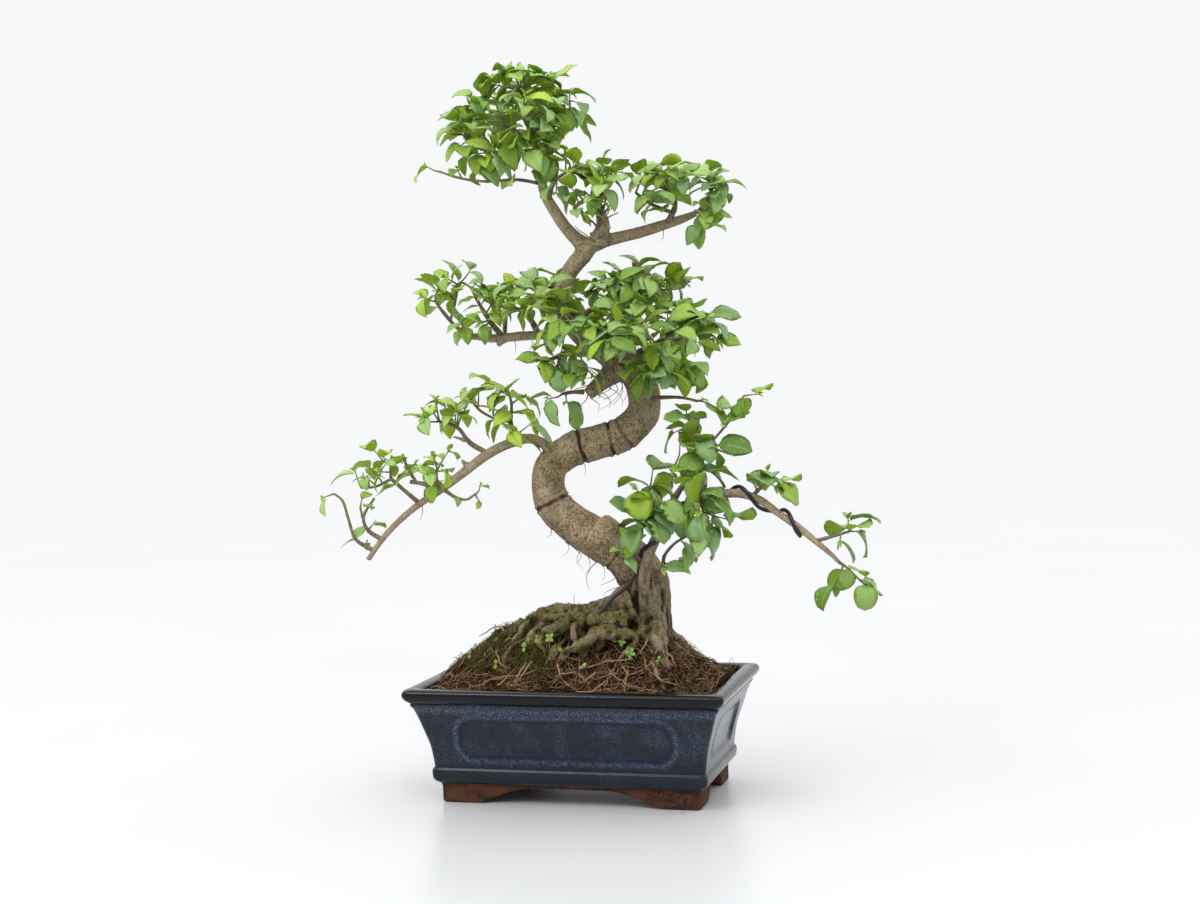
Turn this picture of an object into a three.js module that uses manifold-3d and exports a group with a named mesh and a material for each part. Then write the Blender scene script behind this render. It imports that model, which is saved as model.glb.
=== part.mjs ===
// A small bonsai tree with an S-shaped trunk, trained in a glazed rectangular pot.
// Millimetres, +Z up. The pot's long side lies along X and its front faces -Y. All places
// are measured from the ground under the middle of the pot, and at the end the origin
// moves to under the middle of the whole plant.
import * as THREE from "three";
import { mergeVertices } from "three/addons/utils/BufferGeometryUtils.js";
import Module from "manifold-3d";

const wasm = await Module();
wasm.setup();

// Driving dimensions of the pot.
const POT = { length: 250, width: 158, height: 90, corner: 8 };
const WALL = 7.5;
const BODY_BOTTOM = 15;
const CAVITY_FLOOR = 23;
const INNER_CORNER = 6;
const SKIRT = { inset: 23, thickness: 9, corner: 6, innerCorner: 3 };

// The arches between the feet: half their span at the ground and at their top.
const ARCH_FRONT = { foot: 71, top: 30 };
const ARCH_SIDE = { foot: 30, top: 12 };
const ARCH_RISE = 12.5;

const PANEL = { low: 35, high: 67, corner: 13, depth: 1.4, frontHalf: 84, sideHalf: 42 };
const DRAIN = { across: 52, radius: 9 };
const SCREEN = { side: 34, thick: 1, hole: 11, pitch: 14, count: 2 };

// Clearance kept between neighbouring solids.
const GAP = 0.35;

// Leaves: a blade's thickness, the green shoot that carries it, and a blade's width as a
// share of its length. Leaves over BROAD_FROM long are of the broad kind.
const BLADE_THICK = 0.7;
const SHOOT_RADIUS = 0.95;
const SLIM = 0.62;
const BROAD = 0.76;
const BROAD_FROM = 26;

// Raises a blade's widest place towards its base.
const FULLNESS = 0.75;

// Training wire: coated aluminium, wound on one branch. It follows the branch between two
// of its points, counted from its base, in so many turns.
const WIRE = { radius: 1.5, turns: 3.5, startAngle: 2, from: 1.6, to: 9.4, perTurn: 9, steps: 40 };

const UP = new THREE.Vector3(0, 0, 1);

// Solids and meshes

// A closed geometry as a solid.
function solidOf(geometry) {
  geometry.deleteAttribute("normal");
  geometry.deleteAttribute("uv");
  const merged = mergeVertices(geometry, 1e-4);
  return new wasm.Manifold(
    new wasm.Mesh({
      numProp: 3,
      vertProperties: merged.attributes.position.array,
      triVerts: new Uint32Array(merged.index.array),
    }),
  );
}

// The largest body of a solid, so that no loose scrap is kept.
function largestBody(solid) {
  const bodies = solid.decompose();
  return bodies.reduce((a, b) => (b.volume() > a.volume() ? b : a));
}

function joined(solids) {
  return wasm.Manifold.union(solids);
}

function meshOf(name, solid, material) {
  const { vertProperties, triVerts } = solid.getMesh();
  const geometry = new THREE.BufferGeometry();
  geometry.setAttribute("position", new THREE.BufferAttribute(vertProperties, 3));
  geometry.setIndex(new THREE.BufferAttribute(triVerts, 1));
  geometry.computeVertexNormals();
  const mesh = new THREE.Mesh(geometry, material);
  mesh.name = name;
  return mesh;
}

// Rings of equal point count, joined by quads and capped at both ends.
// Each ring turns anticlockwise as seen from the last ring's side.
function ringStack(rings) {
  const n = rings[0].length;
  const index = [];
  for (let i = 0; i + 1 < rings.length; i++) {
    for (let j = 0; j < n; j++) {
      const k = (j + 1) % n;
      const a = i * n + j;
      const b = i * n + k;
      index.push(a, b, b + n, a, b + n, a + n);
    }
  }
  const last = (rings.length - 1) * n;
  for (let j = 1; j + 1 < n; j++) {
    index.push(0, j + 1, j);
    index.push(last, last + j, last + j + 1);
  }
  const geometry = new THREE.BufferGeometry().setFromPoints(rings.flat());
  geometry.setIndex(index);
  return solidOf(geometry);
}

// A level ring round a rounded rectangle, with extra points along its straight sides.
function rectRing(halfX, halfY, radius, z, perCorner = 3, perSide = 0) {
  const ring = [];
  const corners = [
    [1, 1],
    [-1, 1],
    [-1, -1],
    [1, -1],
  ];
  corners.forEach(([sx, sy], c) => {
    const centre = new THREE.Vector3(sx * (halfX - radius), sy * (halfY - radius), z);
    for (let i = 0; i < perCorner; i++) {
      const angle = (Math.PI / 2) * (c + i / (perCorner - 1));
      ring.push(
        new THREE.Vector3(Math.cos(angle), Math.sin(angle), 0)
          .multiplyScalar(radius)
          .add(centre),
      );
    }
    const [nx, ny] = corners[(c + 1) % 4];
    const from = ring[ring.length - 1];
    const turn = (Math.PI / 2) * (c + 1);
    const to = new THREE.Vector3(
      nx * (halfX - radius) + radius * Math.cos(turn),
      ny * (halfY - radius) + radius * Math.sin(turn),
      z,
    );
    for (let i = 1; i <= perSide; i++) ring.push(from.clone().lerp(to, i / (perSide + 1)));
  });
  return ring;
}

// A flat outline in X and Y, extruded up from z by height.
function slab(shape, z, height) {
  const geometry = new THREE.ExtrudeGeometry(shape, {
    depth: height,
    bevelEnabled: false,
    curveSegments: 4,
  });
  geometry.translate(0, 0, z);
  return solidOf(geometry);
}

function roundedRect(halfX, halfY, radius) {
  const shape = new THREE.Shape();
  shape.moveTo(-halfX + radius, -halfY);
  shape.lineTo(halfX - radius, -halfY);
  shape.absarc(halfX - radius, -halfY + radius, radius, -Math.PI / 2, 0);
  shape.lineTo(halfX, halfY - radius);
  shape.absarc(halfX - radius, halfY - radius, radius, 0, Math.PI / 2);
  shape.lineTo(-halfX + radius, halfY);
  shape.absarc(-halfX + radius, halfY - radius, radius, Math.PI / 2, Math.PI);
  shape.lineTo(-halfX, -halfY + radius);
  shape.absarc(-halfX + radius, -halfY + radius, radius, Math.PI, 1.5 * Math.PI);
  shape.closePath();
  return shape;
}

// Pot

// The wall's outer face: how far it stands in from the rim's outermost line at each height.
const OUTER_FACE = [
  [BODY_BOTTOM, 21.5],
  [20, 17.2],
  [26, 17],
  [29, 18.6],
  [46, 16],
  [71, 8.2],
  [77, 5.4],
  [82, 1.4],
  [86, 0],
  [89, 1.6],
  [POT.height, 4.5],
];

const INNER_FACE = [
  [POT.height, 11],
  [88.5, 12.8],
  [84, 13.4],
  [71, 8.2 + WALL],
  [52, 14 + WALL],
  [CAVITY_FLOOR, 19.5 + WALL],
];

function potRing([z, inset], extra = 0, corner = POT.corner) {
  return rectRing(POT.length / 2 - inset - extra, POT.width / 2 - inset - extra, corner, z);
}

// How far the handles of an arch's sloped ends reach, and how high they lie as a share.
const SLOPE = { low: { reach: 12, rise: 0.35 }, high: { reach: 14, rise: 0.95 } };

// An arch through the skirt, between two feet: open at the ground, with sloped ends.
function archCutter({ foot, top }, depth) {
  const [inFrom, inHigh] = [foot - SLOPE.low.reach, ARCH_RISE * SLOPE.low.rise];
  const [outFrom, outHigh] = [top + SLOPE.high.reach, ARCH_RISE * SLOPE.high.rise];
  const shape = new THREE.Shape();
  shape.moveTo(-foot, -1);
  shape.lineTo(foot, -1);
  shape.lineTo(foot, 0);
  shape.bezierCurveTo(inFrom, inHigh, outFrom, outHigh, top, ARCH_RISE);
  shape.lineTo(-top, ARCH_RISE);
  shape.bezierCurveTo(-outFrom, outHigh, -inFrom, inHigh, -foot, 0);
  shape.closePath();
  const geometry = new THREE.ExtrudeGeometry(shape, {
    depth: 2 * depth,
    bevelEnabled: false,
    curveSegments: 3,
  });
  geometry.translate(0, 0, -depth);
  geometry.rotateX(Math.PI / 2);
  return geometry;
}

// The sunk panels follow the flared wall: a straight prism less the body set in by the depth.
function panelCutters() {
  const inner = ringStack(OUTER_FACE.map((row) => potRing(row, PANEL.depth)));
  const middle = (PANEL.low + PANEL.high) / 2;
  const halfHeight = (PANEL.high - PANEL.low) / 2;
  const prism = (half, turn) => {
    const geometry = new THREE.ExtrudeGeometry(roundedRect(half, halfHeight, PANEL.corner), {
      depth: POT.length,
      bevelEnabled: false,
      curveSegments: 3,
    });
    geometry.rotateX(Math.PI / 2);
    geometry.translate(0, 0, middle);
    geometry.rotateZ(turn);
    return solidOf(geometry).subtract(inner);
  };
  const quarter = Math.PI / 2;
  return [
    prism(PANEL.frontHalf, 0),
    prism(PANEL.frontHalf, 2 * quarter),
    prism(PANEL.sideHalf, quarter),
    prism(PANEL.sideHalf, 3 * quarter),
  ];
}

function drainHole(x) {
  const through = 2 * (CAVITY_FLOOR - BODY_BOTTOM);
  const geometry = new THREE.CylinderGeometry(DRAIN.radius, DRAIN.radius, through, 16);
  geometry.rotateX(Math.PI / 2);
  geometry.translate(x, 0, (BODY_BOTTOM + CAVITY_FLOOR) / 2);
  return solidOf(geometry);
}

function makePot() {
  const outside = OUTER_FACE.map((row) => potRing(row));
  const inside = INNER_FACE.map((row) => potRing(row, 0, INNER_CORNER));
  const body = ringStack([...outside, ...inside]);
  const halfX = POT.length / 2 - SKIRT.inset;
  const halfY = POT.width / 2 - SKIRT.inset;
  const inX = halfX - SKIRT.thickness;
  const inY = halfY - SKIRT.thickness;
  const skirt = slab(roundedRect(halfX, halfY, SKIRT.corner), 0, BODY_BOTTOM + 1)
    .subtract(slab(roundedRect(inX, inY, SKIRT.innerCorner), -1, BODY_BOTTOM + 1))
    .subtract(solidOf(archCutter(ARCH_FRONT, POT.width)))
    .subtract(solidOf(archCutter(ARCH_SIDE, POT.length).rotateZ(Math.PI / 2)));
  const holes = [-DRAIN.across, DRAIN.across].map(drainHole);
  return joined([body, skirt]).subtract(joined([...panelCutters(), ...holes]));
}

// A square plastic screen that keeps the soil in over a drain hole.
function makeScreen(x) {
  const side = SCREEN.side;
  const plate = new THREE.BoxGeometry(side, side, SCREEN.thick);
  const first = (-(SCREEN.count - 1) / 2) * SCREEN.pitch;
  const holes = [];
  for (let i = 0; i < SCREEN.count; i++) {
    for (let j = 0; j < SCREEN.count; j++) {
      const hole = new THREE.BoxGeometry(SCREEN.hole, SCREEN.hole, 3 * SCREEN.thick);
      hole.translate(first + i * SCREEN.pitch, first + j * SCREEN.pitch, 0);
      holes.push(solidOf(hole));
    }
  }
  return solidOf(plate)
    .subtract(joined(holes))
    .translate(x, 0, CAVITY_FLOOR + GAP + SCREEN.thick / 2);
}

// Wood

// Each limb is a smooth line through [x, y, z, radius].
const TRUNK = [
  [49, 8, 96, 19], [50, 8, 118, 20], [50, 8, 145, 19], [47, 7, 166, 18.5], [32, 3, 186, 17],
  [13, -2, 198, 16], [-5, -5, 210, 15], [-19, -8, 224, 14], [-24, -8, 240, 13],
  [-21, -5, 256, 13], [-5, 0, 268, 13.5], [14, 5, 273, 13.5], [34, 9, 279, 13.5],
  [49, 12, 295, 13], [49, 12, 315, 12.5], [39, 9, 331, 11], [20, 3, 344, 9.5],
  [2, -2, 361, 8.5], [-8, -3, 381, 7.5], [-4, -2, 402, 7], [8, 0, 418, 7], [15, 1, 428, 7],
];

const BRANCHES = {
  apex: [[13, 0, 420, 6], [-4, -1, 438, 5], [-13, -3, 452, 4.6], [-20, -4, 465, 4.2], [-23, -4, 477, 3.7]],
  right: [
    [15, 1, 427, 6], [28, 5, 429, 5], [47, 10, 433, 4.6], [66, 14, 438, 4.2],
    [83, 17, 443, 3.4], [94, 19, 447, 2.6],
  ],
  lowLeft: [
    [-14, -6, 258, 6], [-22, -11, 270, 4.6], [-35, -15, 277, 4], [-52, -19, 273, 4],
    [-68, -23, 265, 4], [-87, -28, 251, 3.6], [-103, -33, 239, 3.1], [-120, -37, 228, 2.8],
    [-136, -41, 215, 2.6], [-149, -44, 201, 2.4], [-160, -46, 186, 2],
  ],
  midLeft: [
    [-4, -2, 364, 5], [-24, 5, 358, 4], [-50, 14, 357, 3.8], [-72, 20, 356, 3.6],
    [-88, 25, 358, 3], [-96, 27, 358, 2.4],
  ],
  wired: [
    [53, -6, 148, 5], [53, -14, 167, 4.2], [58, -20, 186, 4.2], [71, -27, 207, 4.2],
    [89, -33, 221, 3.9], [109, -38, 231, 3.6], [129, -43, 235, 3.4], [148, -47, 231, 3.2],
    [163, -50, 221, 3], [178, -53, 211, 2.7], [192, -56, 200, 2.4], [204, -58, 190, 1.9],
    [208, -59, 186, 1.6],
  ],
  prunedStub: [[16, -4, 202, 12], [33, -8, 196, 10], [46, -10, 193, 8.5]],
  crownStump: [[20, 1, 426, 6], [25, -2, 439, 5.2], [24, -4, 449, 4.2]],
  hangingStub: [[32, 6, 330, 8], [20, 0, 319, 6.5], [10, -5, 310, 5]],
  midKnot: [[-64, 18, 356, 3], [-69, 16, 350, 2]],
  leftKnot: [[-81, -26, 255, 2.6], [-86, -30, 262, 1.6]],
  leftSpur: [[-84, -25, 277, 1.8], [-95, -24, 280, 1]],
};

const ROOTS = [
  [
    [40, -4, 149, 12], [25, -8, 144, 9], [6, -8, 140, 7.5], [-18, -4, 140, 7.5],
    [-36, 0, 135, 6.5], [-51, 2, 125, 5], [-63, 2, 113, 4], [-71, 0, 100, 3.5],
  ],
  [[20, -12, 142, 6], [9, -20, 137, 5.5], [4, -26, 127, 5], [7, -28, 113, 4.5]],
  [[56, -8, 123, 6], [41, -22, 126, 4.5], [23, -32, 129, 5.5], [11, -36, 122, 4], [-5, -36, 113, 3]],
  [[0, -10, 135, 5], [-18, -20, 130, 5], [-31, -26, 122, 4.5], [-39, -28, 109, 4]],
  [[38, -10, 137, 5.5], [25, -20, 132, 4.2], [18, -24, 120, 3.5]],
  [[53, 18, 130, 9], [59, 34, 111, 5.5], [65, 42, 93, 4]],
  [[38, 18, 143, 10], [8, 36, 127, 6.5], [-22, 46, 108, 4.5], [-38, 50, 94, 3.5]],
  [[55, -6, 127, 8], [69, -20, 117, 5], [76, -28, 105, 3.5]],
];

// Points on the smooth line through a limb's points, each with its radius.
function alongLimb(points, perSpan) {
  const curve = new THREE.CatmullRomCurve3(
    points.map(([x, y, z]) => new THREE.Vector3(x, y, z)),
    false,
    "catmullrom",
    0.5,
  );
  const spans = points.length - 1;
  const samples = [];
  for (let i = 0; i <= spans * perSpan; i++) {
    const at = i / perSpan;
    const span = Math.min(Math.floor(at), spans - 1);
    const share = at - span;
    samples.push({
      point: curve.getPoint(at / spans),
      radius: points[span][3] * (1 - share) + points[span + 1][3] * share,
    });
  }
  return samples;
}

// A tapered tube round sampled points. The section is carried along without twisting.
function tube(samples, sides, grow = 0, ridges = () => 1) {
  const points = samples.map((s) => s.point.clone());
  const last = points.length - 1;
  const tangents = points.map((_, i) =>
    points[Math.min(i + 1, last)].clone().sub(points[Math.max(i - 1, 0)]).normalize(),
  );
  points[0].addScaledVector(tangents[0], -grow);
  points[last].addScaledVector(tangents[last], grow);
  const side = Math.abs(tangents[0].z) < 0.9 ? UP.clone() : new THREE.Vector3(1, 0, 0);
  const rings = points.map((point, i) => {
    side.addScaledVector(tangents[i], -side.dot(tangents[i])).normalize();
    const other = tangents[i].clone().cross(side);
    const ring = [];
    for (let j = 0; j < sides; j++) {
      const angle = (2 * Math.PI * j) / sides;
      const radius = samples[i].radius * ridges(angle, point) + grow;
      ring.push(
        point
          .clone()
          .addScaledVector(side, radius * Math.cos(angle))
          .addScaledVector(other, radius * Math.sin(angle)),
      );
    }
    return ring;
  });
  return ringStack(rings);
}

// The trunk isn't quite round: three low ridges wind slowly up it.
const RIDGE = { count: 3, height: 0.05, twistPerMm: 0.02 };

function trunkRidges(angle, point) {
  return 1 + RIDGE.height * Math.cos(RIDGE.count * angle + RIDGE.twistPerMm * point.z);
}

function makeWood(grow = 0) {
  return joined([
    tube(alongLimb(TRUNK, 2), 10, grow, trunkRidges),
    ...Object.values(BRANCHES).map((limb) => tube(alongLimb(limb, 1), 6, grow)),
    ...ROOTS.map((root) => tube(alongLimb(root, 1), 5, grow)),
  ]);
}

// Soil

// Two heaps lie against the trunk's foot, the higher one under the spread of roots.
const SOIL_EDGE = 84.5;
const HEAPS = [
  { x: -22, y: 6, high: 47, alongX: 79, alongY: 52 },
  { x: 30, y: 6, high: 36, alongX: 68, alongY: 52 },
];

// The soil's height: level at the pot's wall, heaped up round the roots.
function soilHeight(x, y) {
  const heights = HEAPS.map((heap) => {
    const out = Math.hypot((x - heap.x) / heap.alongX, (y - heap.y) / heap.alongY);
    return heap.high * Math.exp(-(out ** 3));
  });
  return SOIL_EDGE + Math.max(...heights);
}

// The soil's top is made of rings, each this share of its outermost one.
const TOP_RINGS = [1, 0.82, 0.64, 0.47, 0.3, 0.12];

function makeSoil() {
  const ringAt = ([z, inset]) =>
    rectRing(
      POT.length / 2 - inset - GAP,
      POT.width / 2 - inset - GAP,
      INNER_CORNER,
      z,
      2,
      4,
    );
  const below = INNER_FACE.slice(2).reverse();
  below[0] = [CAVITY_FLOOR + GAP, below[0][1]];
  const walls = below.map(ringAt);
  const rim = ringAt([SOIL_EDGE, INNER_FACE[2][1]]);
  const top = TOP_RINGS.map((share) =>
    rim.map((p) => {
      const x = p.x * share;
      const y = p.y * share;
      return new THREE.Vector3(x, y, share === 1 ? SOIL_EDGE : soilHeight(x, y));
    }),
  );
  const side = SCREEN.side + 2 * GAP;
  const pockets = [-DRAIN.across, DRAIN.across].map((x) => {
    const box = new THREE.BoxGeometry(side, side, 2 * (SCREEN.thick + 2 * GAP));
    box.translate(x, 0, CAVITY_FLOOR);
    return solidOf(box);
  });
  return ringStack([...walls.slice(0, -1), ...top]).subtract(joined(pockets));
}

// Training wire

// Its end stands between the front roots. From there it crosses the trunk's foot and winds
// up the wired branch.
const WIRE_LEAD = [[12, -34, 118], [18, -30, 141], [30, -24, 154], [42, -22, 164]];

function makeWire() {
  const perSpan = 8;
  const limb = alongLimb(BRANCHES.wired, perSpan);
  const points = WIRE_LEAD.map(([x, y, z]) => new THREE.Vector3(x, y, z));
  const side = new THREE.Vector3(1, 0, 0);
  const first = Math.round(WIRE.from * perSpan);
  const last = Math.round(WIRE.to * perSpan);
  const steps = Math.round(WIRE.turns * WIRE.perTurn);
  for (let i = 0; i <= steps; i++) {
    const at = Math.round(first + ((last - first) * i) / steps);
    const tangent = limb[at + 1].point.clone().sub(limb[at - 1].point).normalize();
    side.addScaledVector(tangent, -side.dot(tangent)).normalize();
    const other = tangent.clone().cross(side);
    const angle = WIRE.startAngle + (2 * Math.PI * i) / WIRE.perTurn;
    const radius = limb[at].radius + 2 * GAP + WIRE.radius;
    points.push(
      limb[at].point
        .clone()
        .addScaledVector(side, radius * Math.cos(angle))
        .addScaledVector(other, radius * Math.sin(angle)),
    );
  }
  const section = new THREE.Shape();
  section.absarc(0, 0, WIRE.radius, 0, 2 * Math.PI);
  return solidOf(
    new THREE.ExtrudeGeometry(section, {
      steps: WIRE.steps,
      curveSegments: 3,
      bevelEnabled: false,
      extrudePath: new THREE.CatmullRomCurve3(points),
    }),
  );
}

// Leaves

// Repeatable random numbers from 0 to 1, by a linear congruence.
const DICE = { range: 2 ** 32, factor: 1664525, step: 1013904223, spread: 7919, start: 12345 };

function dice(seed) {
  let state = (seed * DICE.spread + DICE.start) % DICE.range;
  const roll = () => {
    state = (state * DICE.factor + DICE.step) % DICE.range;
    return state / DICE.range;
  };
  roll();
  roll();
  return roll;
}

// A point on a leaf: share along it, across from -1 to 1, and lift off its face.
// The blade bends down along a circular arc and folds up from its midrib. It is widest
// near its base and drawn out to its tip.
function onLeaf(leaf, share, across, lift) {
  const bend = leaf.droop * share;
  const reach = (leaf.length * Math.sin(bend)) / leaf.droop;
  const drop = (leaf.length * (1 - Math.cos(bend))) / leaf.droop;
  const half = (leaf.width / 2) * Math.sin(Math.PI * Math.pow(share, FULLNESS)) * across;
  const up = leaf.normal
    .clone()
    .multiplyScalar(Math.cos(bend))
    .addScaledVector(leaf.along, Math.sin(bend));
  return leaf.base
    .clone()
    .addScaledVector(leaf.along, reach)
    .addScaledVector(leaf.normal, -drop)
    .addScaledVector(leaf.side, half)
    .addScaledVector(up, leaf.fold * Math.abs(half) + lift);
}

// Places [share, across] round the blade's edge from its right to its left, then on its midrib.
const PLACES = [[0.28, -1], [0.66, -1], [1, 0], [0.66, 1], [0.28, 1], [0.5, 0]];

// The blade's points, on its upper face and then on its lower one, an even thickness apart.
function bladePoints(leaf) {
  return [BLADE_THICK / 2, -BLADE_THICK / 2].flatMap((lift) =>
    PLACES.map(([share, across]) => onLeaf(leaf, share, across, lift)),
  );
}

// Triangles over both faces and the edge of a blade whose points are numbered from first.
// The strip from its last edge place round the base to its first one stays open.
function bladeTriangles(first) {
  const count = PLACES.length;
  const rib = first + count - 1;
  const index = [];
  for (let top = first; top + 1 < rib; top++) {
    const under = top + count;
    index.push(rib, top, top + 1);
    index.push(rib + count, under + 1, under);
    index.push(top, under, under + 1, top, under + 1, top + 1);
  }
  return index;
}

function leafSolid(roots, leaf, closing) {
  const geometry = new THREE.BufferGeometry().setFromPoints([...roots, ...bladePoints(leaf)]);
  geometry.setIndex([...closing, ...bladeTriangles(roots.length)]);
  return solidOf(geometry);
}

// A leaf that starts from an upright edge inside the shoot that carries it.
function sunkLeaf(leaf) {
  const roots = [BLADE_THICK / 2, -BLADE_THICK / 2].map((lift) => onLeaf(leaf, 0, 0, lift));
  const [upper, lower, first] = [0, 1, roots.length];
  const last = first + PLACES.length - 2;
  const rib = last + 1;
  const down = PLACES.length;
  return leafSolid(roots, leaf, [
    ...[rib, upper, first, rib, last, upper],
    ...[rib + down, first + down, lower, rib + down, lower, last + down],
    ...[upper, lower, first + down, upper, first + down, first],
    ...[lower, upper, last, lower, last, last + down],
  ]);
}

// A leaf and the three-sided shoot that it ends, in one closed surface.
function leafOnShoot(leaf, shoot) {
  const bend = new THREE.Quaternion().setFromUnitVectors(leaf.along, shoot.axis);
  const ringAt = (point, share) => {
    const turn = new THREE.Quaternion().slerp(bend, share);
    return [[-1, 0], [1, 0], [0, -1]].map(([across, up]) =>
      leaf.side
        .clone()
        .multiplyScalar(across * SHOOT_RADIUS)
        .addScaledVector(leaf.normal, up * SHOOT_RADIUS)
        .applyQuaternion(turn)
        .add(point),
    );
  };
  const roots = [...ringAt(shoot.from, 1), ...ringAt(leaf.base, 0.5)];
  const [right, left, keel, first] = [3, 4, 5, roots.length];
  const last = first + PLACES.length - 2;
  const rib = last + 1;
  const down = PLACES.length;
  return leafSolid(roots, leaf, [
    ...[0, 1, 2, 0, 3, 4, 0, 4, 1, 1, 4, 5, 1, 5, 2, 2, 5, 3, 2, 3, 0],
    ...[rib, right, first, rib, last, left, rib, left, right],
    ...[rib + down, first + down, keel, rib + down, keel, last + down],
    ...[right, keel, first + down, right, first + down, first],
    ...[left, last + down, keel, left, last, last + down],
  ]);
}

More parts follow.
